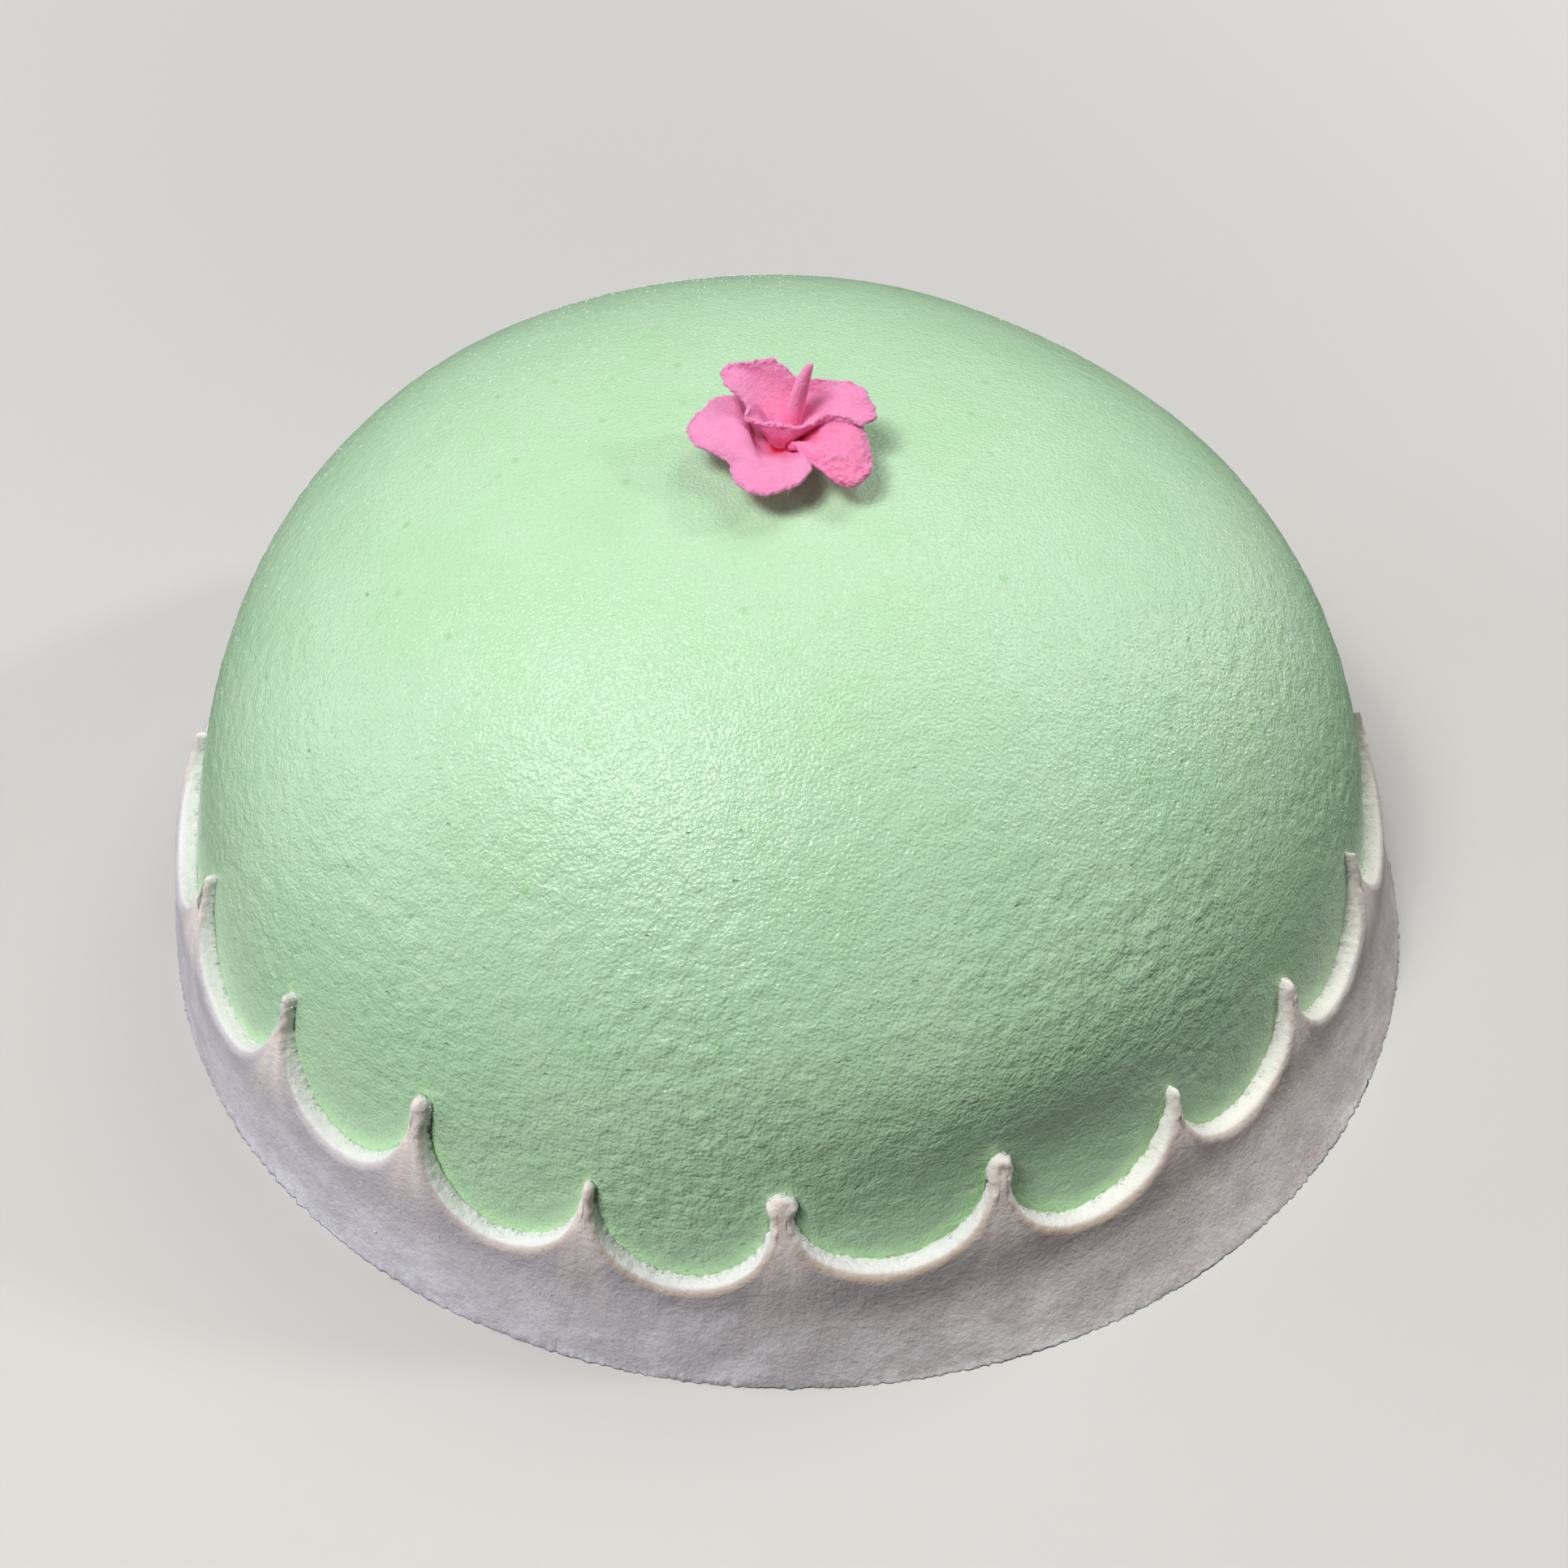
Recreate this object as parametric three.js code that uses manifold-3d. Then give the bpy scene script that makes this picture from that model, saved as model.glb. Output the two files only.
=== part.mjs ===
// Princess cake: a domed layer cake under rolled green marzipan, ringed by a scalloped strip
// of white marzipan and topped with a pink marzipan flower.
// Millimetres, +Z up. The origin is the centre of the cake's foot, on the surface it rests on.
// -Y is the front, +X the right-hand side.

import * as THREE from 'three';
import { mergeVertices } from 'three/addons/utils/BufferGeometryUtils.js';
import Module from 'manifold-3d';

const wasm = await Module();
wasm.setup();

const { degToRad } = THREE.MathUtils;
const vec = (x, y, z) => new THREE.Vector3(x, y, z);

// ---------------------------------------------------------------- driving dimensions

const CLEARANCE = 0.3; // left between pieces that touch

const DOME_HEIGHT = 96.5;
const DOME_FOOT_RADIUS = 108.9;
const DOME_WALL_LEAN = 0.21; // radius lost for each millimetre of height, before the shoulder
const DOME_SHOULDER = 2.52; // exponents of the rounded profile
const DOME_CROWN = 3.36;
const DOME_CENTRE = new THREE.Vector2(-2.9, 0.2); // the dome sits a little off its foot ring
const DOME_RINGS = 20;
const DOME_SEGMENTS = 80;
// The draped dome isn't quite round: waves about it, their share of the radius, and the
// angle from +X where each is highest.
const DOME_LOBES = [
  { waves: 2, share: 0.0089, peak: degToRad(-13) },
  { waves: 3, share: 0.0097, peak: degToRad(8) },
  { waves: 4, share: 0.0068, peak: degToRad(2) },
  { waves: 5, share: 0.0053, peak: 0 },
];

const STRIP_FOOT_RADIUS = 115;
const STRIP_THICKNESS = 3.2; // at the scallops' floors, on average
const STRIP_UNEVENNESS = 0.1; // the share by which it is thicker at the cake's sides
const SPIKE_THICKNESS = 1.9; // at the spikes' tips
const STRIP_FLARE_HEIGHT = 17; // below this the strip's outside spreads towards its foot
const STRIP_FLARE_CURVE = 2.1; // exponent of that spread
const STRIP_ROLL = 1.2; // how far the cut edge rolls over on the outside
const STRIP_STEPS = [0, 0.4, 0.75, 1]; // shares of the outside's height where its section bends
const SCALLOP_COUNT = 21;
const SPIKE_HALF_WIDTH = 0.9; // where the arc of a scallop gives way to its spike, from 0 to 1
const SPIKE_BLUNTNESS = 0.5; // exponent of a spike's flank, smaller for a blunter tip
// The spikes of the front half, left to right: angle from the front in degrees, height of
// the spike, and height of the scallop's floor to its right.
const FRONT_SPIKES = [
  { angle: -84.4, height: 31.0, floor: 16.2 },
  { angle: -63.3, height: 32.7, floor: 14.4 },
  { angle: -45.6, height: 33.6, floor: 15.0 },
  { angle: -29.3, height: 32.6, floor: 14.5 },
  { angle: -13.8, height: 28.9, floor: 14.4 },
  { angle: 1.6, height: 30.8, floor: 17.4 },
  { angle: 18.9, height: 32.0, floor: 15.6 },
  { angle: 36.4, height: 28.6, floor: 14.4 },
  { angle: 53.0, height: 29.4, floor: 14.8 },
  { angle: 69.3, height: 33.2, floor: 16.8 },
  { angle: 89.8, height: 32.5, floor: 16.5 },
];
const BACK_SPIKE_HEIGHT = 32;
const BACK_FLOOR_HEIGHT = 16.5;
const BACK_UNEVENNESS = 1.0; // in degrees and in millimetres
const BACK_UNEVEN_STEP = 2.4; // radians of the wave of unevenness from spike to spike
// Where the columns of one scallop stand, from spike (-1) to spike (1).
const SCALLOP_COLUMNS = [-1, -0.95, -SPIKE_HALF_WIDTH, -0.78, -0.5, 0, 0.5, 0.78, SPIKE_HALF_WIDTH, 0.95];

const FLOWER_PLACE = new THREE.Vector2(-3, -19);
const PETAL_THICKNESS = 1.4;
const PETAL_EDGE_THICKNESS = 0.8;
const PETAL_ROOT_HEIGHT = 0.9; // of a petal's middle surface, above the dome
const PETAL_COLUMNS = 14;
const PETAL_ROWS = 8;
const PISTIL_RADIUS = 1.75;
const PISTIL_LENGTH = 13.8;
const PISTIL_FOOT = vec(1.3, 4.7, 1.2);
const PISTIL_LEAN = vec(3.9, -1.5, 13.3); // the way it points
const PISTIL_SIDES = 12;
// The pistil's half profile, as shares of its radius and length, from the foot to the tip.
const PISTIL_PROFILE = [
  [0, 0], [0.8, 0], [0.96, 0.1], [1, 0.35], [0.96, 0.58], [0.66, 0.78], [0.36, 0.92],
  [0.15, 0.985], [0, 1],
];

const SAME_POINT = 1e-4; // points closer than this are one

// ---------------------------------------------------------------- materials

const marzipan = (name, color) => new THREE.MeshStandardMaterial({
  name, color, roughness: 0.55, metalness: 0,
});
const greenMarzipan = marzipan('green_marzipan', 0xb4deb4);
const whiteMarzipan = marzipan('white_marzipan', 0xeee6d4);
const pinkMarzipan = marzipan('pink_marzipan', 0xff85b8);

// ---------------------------------------------------------------- surfaces as closed meshes

// A closed mesh from its points and its triangles, whose corners run anticlockwise from outside.
function geometryFrom(points, triangles) {
  const geometry = new THREE.BufferGeometry();
  geometry.setAttribute('position', new THREE.Float32BufferAttribute(
    points.flatMap((p) => [p.x, p.y, p.z]), 3,
  ));
  geometry.setIndex(triangles);
  return geometry;
}

// The two triangles of a quad.
const quad = (a, b, c, d) => [a, b, c, a, c, d];

// ---------------------------------------------------------------- the dome

function domeLobes(angle) {
  return DOME_LOBES.reduce(
    (sum, { waves, share, peak }) => sum + share * Math.cos(waves * (angle - peak)), 1,
  );
}

// The dome's radius about its own centre at a height and an angle from +X.
function domeRadius(height, angle) {
  const rounded = (1 - (height / DOME_HEIGHT) ** DOME_CROWN) ** (1 / DOME_SHOULDER);
  return (DOME_FOOT_RADIUS - DOME_WALL_LEAN * height) * rounded * domeLobes(angle);
}

// The point at a radius about the dome's centre.
function aboutDome(radius, angle, height) {
  return vec(
    DOME_CENTRE.x + radius * Math.cos(angle),
    DOME_CENTRE.y + radius * Math.sin(angle),
    height,
  );
}

// The dome's height over a point of the plan, found by halving.
function domeHeightAt(place) {
  const offset = place.clone().sub(DOME_CENTRE);
  let low = 0;
  let high = DOME_HEIGHT;
  while (high - low > 0.001) {
    const middle = (low + high) / 2;
    if (domeRadius(middle, offset.angle()) > offset.length()) low = middle;
    else high = middle;
  }
  return low;
}

function domeGeometry() {
  const points = [];
  for (let ring = 0; ring < DOME_RINGS; ring += 1) {
    const sweep = (Math.PI / 2) * (1 - ring / DOME_RINGS);
    const height = ring ? DOME_HEIGHT * Math.cos(sweep) ** (2 / DOME_CROWN) : 0;
    for (let segment = 0; segment < DOME_SEGMENTS; segment += 1) {
      const angle = (2 * Math.PI * segment) / DOME_SEGMENTS;
      points.push(aboutDome(domeRadius(height, angle), angle, height));
    }
  }
  const base = points.push(aboutDome(0, 0, 0)) - 1;
  const apex = points.push(aboutDome(0, 0, DOME_HEIGHT)) - 1;
  const triangles = [];
  for (let segment = 0; segment < DOME_SEGMENTS; segment += 1) {
    const next = (segment + 1) % DOME_SEGMENTS;
    triangles.push(base, next, segment);
    for (let ring = 0; ring < DOME_RINGS - 1; ring += 1) {
      const low = ring * DOME_SEGMENTS;
      const high = low + DOME_SEGMENTS;
      triangles.push(...quad(low + segment, low + next, high + next, high + segment));
    }
    const last = (DOME_RINGS - 1) * DOME_SEGMENTS;
    triangles.push(last + segment, last + next, apex);
  }
  return geometryFrom(points, triangles);
}

// ---------------------------------------------------------------- the scalloped strip

// Every spike round the cake: the listed front ones, then the back ones, evenly spread
// and a little uneven.
function allSpikes() {
  const last = FRONT_SPIKES[FRONT_SPIKES.length - 1];
  const backCount = SCALLOP_COUNT - FRONT_SPIKES.length;
  const step = (360 + FRONT_SPIKES[0].angle - last.angle) / (backCount + 1);
  const back = Array.from({ length: backCount }, (_, index) => {
    const wobble = BACK_UNEVENNESS * Math.sin(BACK_UNEVEN_STEP * (index + 1));
    return {
      angle: last.angle + step * (index + 1) + wobble,
      height: BACK_SPIKE_HEIGHT + wobble,
      floor: BACK_FLOOR_HEIGHT - wobble,
    };
  });
  return [...FRONT_SPIKES, ...back];
}

// The height of the cut edge within one scallop, where s runs from spike (-1) to spike (1):
// a half circle squeezed to the scallop's depth, and a blunt spike at each end.
function scallopHeight(s, left, right) {
  const spike = s < 0 ? left.height : right.height;
  const arc = 1 - Math.sqrt(1 - Math.min(Math.abs(s), SPIKE_HALF_WIDTH) ** 2);
  const height = left.floor + (spike - left.floor) * arc;
  const rise = Math.max(Math.abs(s) - SPIKE_HALF_WIDTH, 0) / (1 - SPIKE_HALF_WIDTH);
  return height + (spike - height) * Math.sin((Math.PI / 2) * rise) ** SPIKE_BLUNTNESS;
}

// The strip's columns: an angle from +X about the dome's centre, and the cut edge's height.
function stripColumns() {
  const spikes = allSpikes();
  return spikes.flatMap((left, index) => {
    const right = spikes[(index + 1) % spikes.length];
    const turn = right.angle > left.angle ? 0 : 360;
    return SCALLOP_COLUMNS.map((s) => ({
      angle: degToRad(-90 + left.angle + ((right.angle + turn - left.angle) * (s + 1)) / 2),
      height: scallopHeight(s, left, right),
    }));
  });
}

// Distance from the dome's centre out to the strip's round foot.
function footRadius(angle) {
  const along = DOME_CENTRE.x * Math.cos(angle) + DOME_CENTRE.y * Math.sin(angle);
  return -along + Math.sqrt(along ** 2 + STRIP_FOOT_RADIUS ** 2 - DOME_CENTRE.lengthSq());
}

function stripInside(height, angle) {
  return domeRadius(height, angle) + CLEARANCE;
}

function stripOutside(height, angle) {
  const rolled = STRIP_THICKNESS * (1 + STRIP_UNEVENNESS * Math.cos(2 * angle));
  const spread = footRadius(angle) - stripInside(0, angle) - rolled;
  const low = Math.max(1 - height / STRIP_FLARE_HEIGHT, 0) ** STRIP_FLARE_CURVE;
  const high = THREE.MathUtils.smoothstep(height, BACK_FLOOR_HEIGHT, BACK_SPIKE_HEIGHT);
  const thickness = THREE.MathUtils.lerp(rolled, SPIKE_THICKNESS, high);
  return stripInside(height, angle) + thickness + spread * low;
}

// One closed section of the strip, from its inner foot round the outside and back down.
function stripSection({ angle, height }) {
  const shoulder = height - STRIP_ROLL;
  const outside = STRIP_STEPS.map((share) => (
    aboutDome(stripOutside(share * shoulder, angle), angle, share * shoulder)
  ));
  return [
    aboutDome(stripInside(0, angle), angle, 0),
    ...outside,
    aboutDome(stripOutside(height, angle) - STRIP_ROLL, angle, height),
    aboutDome(stripInside(height, angle), angle, height),
    aboutDome(stripInside(height / 2, angle), angle, height / 2),
  ];
}

function stripGeometry() {
  const sections = stripColumns().map(stripSection);
  const size = sections[0].length;
  const triangles = [];
  sections.forEach((_, column) => {
    const here = column * size;
    const beside = ((column + 1) % sections.length) * size;
    for (let step = 0; step < size; step += 1) {
      const next = (step + 1) % size;
      triangles.push(...quad(here + step, beside + step, beside + next, here + next));
    }
  });
  return geometryFrom(sections.flat(), triangles);
}

// ---------------------------------------------------------------- the flower

// The flower's own frame has its origin where it rests on the dome. Each petal is a sheet
// stretched from a root curve at the flower's heart, given in plan, to a free rim. Its height
// follows the way from root to rim to the power of its rise, and it swells on the way.
const PETALS = [
  {
    name: 'petal_lip',
    rim: [
      [4.8, 7.3, 8.4], [8.6, 8.5, 8.5], [12.4, 7.4, 7.8], [14.6, 4.4, 6.8], [13.2, 1.2, 6.7],
      [8.6, 0.3, 7.4], [4.0, -1.2, 6.8], [-0.4, -1.8, 6.6], [-4.2, -1.0, 7.2],
    ],
    root: [[2.4, 7.1], [3.9, 5.2], [3.2, 2.9], [1.3, 2.1], [-0.8, 2.8]],
    rise: 1.25,
    swell: 0,
  },
  {
    name: 'petal_back',
    rim: [
      [2.3, 7.9, 9.3], [-1.2, 9.0, 11.0], [-4.6, 8.6, 11.2], [-7.4, 7.2, 10.7], [-7.4, 4.8, 10.0],
      [-6.0, 2.4, 9.1], [-4.2, 1.8, 8.0],
    ],
    root: [[1.8, 7.4], [-0.6, 6.7], [-1.3, 5.2], [-1.3, 3.9]],
    rise: 1.35,
    swell: 0,
  },
  {
    name: 'petal_left',
    rim: [
      [-7.3, 8.2, 5.4], [-10.2, 5.4, 5.4], [-12.4, 2.4, 5.0], [-12.6, -0.6, 4.4], [-9.8, -3.5, 3.8],
      [-6.5, -5.5, 3.5],
    ],
    root: [[-2.4, 5.6], [-2.6, 3.2], [-2.1, 1.0]],
    rise: 0.6,
    swell: 0.4,
  },
  {
    name: 'petal_front',
    rim: [
      [-6.3, -7.2, 3.3], [-5.6, -10.4, 3.1], [-1.8, -13.2, 3.2], [2.4, -10.4, 3.6], [5.0, -7.8, 4.0],
      [4.4, -5.6, 4.0],
    ],
    root: [[-1.8, 0.0], [-0.3, -0.4], [1.2, -0.1]],
    rise: 0.5,
    swell: 0.3,
  },
  {
    name: 'petal_side',
    rim: [
      [6.2, -6.0, 3.3], [8.2, -8.9, 2.7], [12.3, -8.2, 2.6], [13.8, -4.4, 3.2], [12.6, -0.6, 4.2],
      [10.0, 1.2, 4.8],
    ],
    root: [[2.4, 0.3], [4.0, 1.2], [5.0, 2.6]],
    rise: 0.8,
    swell: 1.4,
  },
];

// A petal's middle surface: u runs along the rim, v from root (0) to rim (1).
function petalSurface({ rim, root, rise, swell }) {
  const rimCurve = new THREE.CatmullRomCurve3(rim.map((p) => vec(...p)));
  const rootCurve = new THREE.CatmullRomCurve3(root.map((p) => vec(...p, PETAL_ROOT_HEIGHT)));
  return (u, v) => {
    const start = rootCurve.getPointAt(u);
    const end = rimCurve.getPointAt(u);
    const point = start.clone().lerp(end, v);
    point.z = start.z + (end.z - start.z) * v ** rise + swell * Math.sin(Math.PI * v);
    return point;
  };
}

// The surface's normal, from small steps along and across it.
function surfaceNormal(surface, u, v) {
  const step = 0.01;
  const clamp = (value) => THREE.MathUtils.clamp(value, 0, 1);
  const along = surface(clamp(u + step), v).sub(surface(clamp(u - step), v));
  const across = surface(u, clamp(v + step)).sub(surface(u, clamp(v - step)));
  return along.cross(across).normalize();
}

// A petal as a closed sheet, thinner at its rim. Extra thickness makes the cutter that
// keeps its neighbours clear.
function petalGeometry(petal, extra = 0) {
  const surface = petalSurface(petal);
  const points = [];
  [1, -1].forEach((side) => {
    for (let row = 0; row <= PETAL_ROWS; row += 1) {
      const v = row / PETAL_ROWS;
      const half = THREE.MathUtils.lerp(PETAL_THICKNESS, PETAL_EDGE_THICKNESS, v) / 2 + extra;
      for (let column = 0; column <= PETAL_COLUMNS; column += 1) {
        const u = column / PETAL_COLUMNS;
        const offset = surfaceNormal(surface, u, v).multiplyScalar(side * half);
        points.push(surface(u, v).add(offset));
      }
    }
  });
  const width = PETAL_COLUMNS + 1;
  const sheet = width * (PETAL_ROWS + 1);
  const triangles = [];
  for (let row = 0; row < PETAL_ROWS; row += 1) {
    for (let column = 0; column < PETAL_COLUMNS; column += 1) {
      const a = row * width + column;
      triangles.push(...quad(a, a + 1, a + width + 1, a + width));
      const b = a + sheet;
      triangles.push(...quad(b, b + width, b + width + 1, b + 1));
    }
  }
  const border = [];
  for (let column = 0; column < PETAL_COLUMNS; column += 1) border.push(column);
  for (let row = 0; row < PETAL_ROWS; row += 1) border.push(row * width + PETAL_COLUMNS);
  for (let column = PETAL_COLUMNS; column > 0; column -= 1) border.push(PETAL_ROWS * width + column);
  for (let row = PETAL_ROWS; row > 0; row -= 1) border.push(row * width);
  border.forEach((a, index) => {
    const b = border[(index + 1) % border.length];
    triangles.push(...quad(b, a, a + sheet, b + sheet));
  });
  return geometryFrom(points, triangles);
}

// The pistil: a finger of marzipan that tapers to a point, leaning to the right.
function pistilGeometry(extra = 0) {
  const profile = PISTIL_PROFILE.map(([radius, height]) => new THREE.Vector2(
    radius * PISTIL_RADIUS + (radius > 0 ? extra : 0), height * PISTIL_LENGTH,
  ));
  const lean = new THREE.Quaternion().setFromUnitVectors(
    vec(0, 1, 0), PISTIL_LEAN.clone().normalize(),
  );
  return new THREE.LatheGeometry(profile, PISTIL_SIDES)
    .applyQuaternion(lean)
    .translate(PISTIL_FOOT.x, PISTIL_FOOT.y, PISTIL_FOOT.z);
}

// ---------------------------------------------------------------- booleans

function toSolid(geometry) {
  const bare = geometry.clone();
  bare.deleteAttribute('normal');
  bare.deleteAttribute('uv');
  const merged = mergeVertices(bare, SAME_POINT);
  return new wasm.Manifold(new wasm.Mesh({
    numProp: 3,
    vertProperties: merged.getAttribute('position').array,
    triVerts: new Uint32Array(merged.getIndex().array),
  }));
}

function fromSolid(solid) {
  const { vertProperties, triVerts } = solid.getMesh();
  const geometry = new THREE.BufferGeometry();
  geometry.setAttribute('position', new THREE.BufferAttribute(vertProperties, 3));
  geometry.setIndex(new THREE.BufferAttribute(triVerts, 1));
  return geometry;
}

// What is left of a solid once its neighbours are cut out of it, without loose slivers.
function trimmed(solid, neighbours) {
  const cut = neighbours.reduce((rest, neighbour) => rest.subtract(neighbour), solid);
  return cut.decompose().sort((a, b) => b.volume() - a.volume())[0];
}

// ---------------------------------------------------------------- the cake

function named(name, geometry, material) {
  const mesh = new THREE.Mesh(geometry, material);
  mesh.name = name;
  return mesh;
}

// The pistil and the petals, each trimmed clear of the pieces laid before it.
function flower() {
  const group = new THREE.Group();
  group.position.set(FLOWER_PLACE.x, FLOWER_PLACE.y, domeHeightAt(FLOWER_PLACE) + CLEARANCE);
  group.add(named('pistil', pistilGeometry(), pinkMarzipan));
  const cutters = [toSolid(pistilGeometry(CLEARANCE))];
  PETALS.forEach((petal) => {
    const solid = trimmed(toSolid(petalGeometry(petal)), cutters);
    group.add(named(petal.name, fromSolid(solid), pinkMarzipan));
    cutters.push(toSolid(petalGeometry(petal, CLEARANCE)));
  });
  return group;
}

const cake = new THREE.Group();
cake.add(named('dome', domeGeometry(), greenMarzipan));
cake.add(named('scalloped_strip', stripGeometry(), whiteMarzipan));
cake.add(flower());

export default cake;
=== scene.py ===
"""A whole princess cake: a dome under pale green marzipan, a scalloped strip of white marzipan
round its foot and a pink marzipan flower on top, on a pale studio floor.

Every surface is worked out with numpy from the sizes of the frame's solids and dressed with
procedural materials. Lengths are in metres, +Z is up and -Y is the front of the cake.
"""

import logging
import math
from dataclasses import dataclass, field
from enum import Enum
from functools import cached_property
from itertools import product
from typing import Callable

import bpy
import numpy as np
from mathutils import Matrix, Vector


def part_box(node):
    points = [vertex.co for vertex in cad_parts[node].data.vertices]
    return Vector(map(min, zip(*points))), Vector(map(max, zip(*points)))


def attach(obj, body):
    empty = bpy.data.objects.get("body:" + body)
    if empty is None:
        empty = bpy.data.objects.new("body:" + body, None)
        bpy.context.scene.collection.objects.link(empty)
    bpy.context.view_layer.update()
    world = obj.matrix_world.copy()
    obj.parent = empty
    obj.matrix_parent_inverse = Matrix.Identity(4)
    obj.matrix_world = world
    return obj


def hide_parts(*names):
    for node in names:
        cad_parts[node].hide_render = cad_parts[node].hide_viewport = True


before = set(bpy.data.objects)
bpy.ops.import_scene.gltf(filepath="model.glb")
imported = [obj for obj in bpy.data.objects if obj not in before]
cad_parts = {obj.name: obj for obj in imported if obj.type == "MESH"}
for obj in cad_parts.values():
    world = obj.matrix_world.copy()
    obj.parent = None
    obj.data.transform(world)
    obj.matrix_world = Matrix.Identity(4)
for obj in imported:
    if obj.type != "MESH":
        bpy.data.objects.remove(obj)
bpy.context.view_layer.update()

LOG = logging.getLogger("princess_cake")

MM = 0.001
CLEARANCE = 0.3 * MM
Array = np.ndarray
Triple = tuple[float, float, float]
Piece = bpy.types.Object


# ---------------- numbers and grids


def linear(*screen: int) -> Triple:
    """A colour as linear light, by the screen's usual curve.

    Args:
        screen: red, green and blue as screen values, 0 to 255.

    Returns:
        The three linear values, 0 to 1.
    """
    share = np.array(screen) / 255
    curve = ((share + 0.055) / 1.055) ** 2.4
    return tuple(np.where(share <= 0.04045, share / 12.92, curve).tolist())


def smoothstep(value: Array, low: float, high: float) -> Array:
    """0 below low and 1 above high, with 3t^2 - 2t^3 between them."""
    share = np.clip((value - low) / (high - low), 0, 1)
    return share * share * (3 - 2 * share)


def blend(start: Array, end: Array, share: Array) -> Array:
    """start + (end - start) * share."""
    return start + (end - start) * share


def bell(value: Array, middle: float, width: float) -> Array:
    """exp(-((value - middle) / width)^2), a rise of 1 at the middle."""
    return np.exp(-(((value - middle) / width) ** 2))


def unit(vectors: Array) -> Array:
    """The vectors divided by their lengths."""
    return vectors / np.maximum(np.linalg.norm(vectors, axis=-1, keepdims=True), 1e-15)


def turns(count: int) -> Array:
    """Angles spread evenly round a circle, from 0."""
    return np.linspace(0, 2 * math.pi, count, endpoint=False)


def lengths(points: Array, axis: int = 0) -> Array:
    """How far along its chain of points each point lies, from 0 at the first.

    Args:
        points: chains of points, the last axis being their coordinates.
        axis: the axis that the chains run along.

    Returns:
        One length for each point.
    """
    steps = np.linalg.norm(np.diff(points, axis=axis), axis=-1)
    return np.concatenate([0 * steps.take([0], axis), np.cumsum(steps, axis)], axis)


class Weave(Enum):
    """How a grid closes: whether its last row and its last column meet its first ones."""

    PATCH = (False, False)
    TUBE = (False, True)
    RING = (True, True)


def grid_normals(points: Array, weave: Weave) -> Array:
    """The unit cross product of the steps along the columns and along the rows, each from the
    point before to the point after.

    Args:
        points: grid of points, rows by columns by 3.
        weave: how the grid closes.

    Returns:
        A grid of unit normals.
    """
    across, along = (
        np.roll(points, -1, axis) - np.roll(points, 1, axis) if closed
        else np.gradient(points, axis=axis)
        for axis, closed in enumerate(weave.value)
    )
    return unit(np.cross(along, across))


def grid_quads(index: Array, weave: Weave) -> Array:
    """Quads between neighbouring points of a grid, facing along columns x rows.

    Args:
        index: the grid's point numbers, rows by columns.
        weave: how the grid closes.

    Returns:
        An array of quads, 4 point numbers each.
    """
    index = np.pad(index, [(0, int(closed)) for closed in weave.value], mode="wrap")
    corners = (index[:-1, :-1], index[:-1, 1:], index[1:, 1:], index[1:, :-1])
    return np.stack(corners, axis=-1).reshape(-1, 4)


@dataclass(frozen=True)
class Noise:
    """Smooth random relief in space, the same at every run.

    Each corner of a lattice has a random slope. The value at a point is the corners' slopes
    times the way from each corner, blended with 6t^5 - 15t^4 + 10t^3. Each octave halves the
    lattice and the height of the last, and is shifted. The gain brings the sum to about 1,
    and the depth scales it.
    """

    seed: int
    size: float
    octaves: int = 1
    depth: float = 1
    stretch: Triple = (1, 1, 1)
    period: int = 256
    shift: float = 17.3
    gain: float = 1.6

    def at(self, points: Array, number: int = 0) -> Array:
        """The relief at points, mostly between -depth and depth.

        Args:
            points: places in metres, the last axis being x, y, z.
            number: added to the seed, so that like pieces differ.

        Returns:
            One value for each point.
        """
        random = np.random.default_rng(self.seed + number)
        order = random.permutation(self.period)
        slopes = unit(random.normal(size=(self.period, 3)))
        cells = points / (self.size * np.array(self.stretch))
        layers = [
            self._layer(cells * 2**octave + self.shift * octave, order, slopes) / 2**octave
            for octave in range(self.octaves)
        ]
        return self.depth * self.gain * sum(layers)

    def _layer(self, cells: Array, order: Array, slopes: Array) -> Array:
        """One octave of the relief.

        Args:
            cells: places in lattice steps.
            order: the lattice's numbers, shuffled.
            slopes: the random slopes that corners pick from.

        Returns:
            One value for each place.
        """
        low = np.floor(cells).astype(int)
        part = cells - low
        ease = part**3 * (part * (part * 6 - 15) + 10)
        total = np.zeros(cells.shape[:-1])
        for corner in product((0, 1), repeat=3):
            key = 0
            for place in np.moveaxis((low + corner) % self.period, -1, 0):
                key = order[(key + place) % self.period]
            weight = np.prod(np.where(corner, ease, 1 - ease), axis=-1)
            total += weight * ((part - corner) * slopes[key]).sum(-1)
        return total


def placed(name: str, data: bpy.types.ID) -> Piece:
    """A new object of some data, linked to the scene."""
    bpy.context.scene.collection.objects.link(piece := bpy.data.objects.new(name, data))
    return piece


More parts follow.
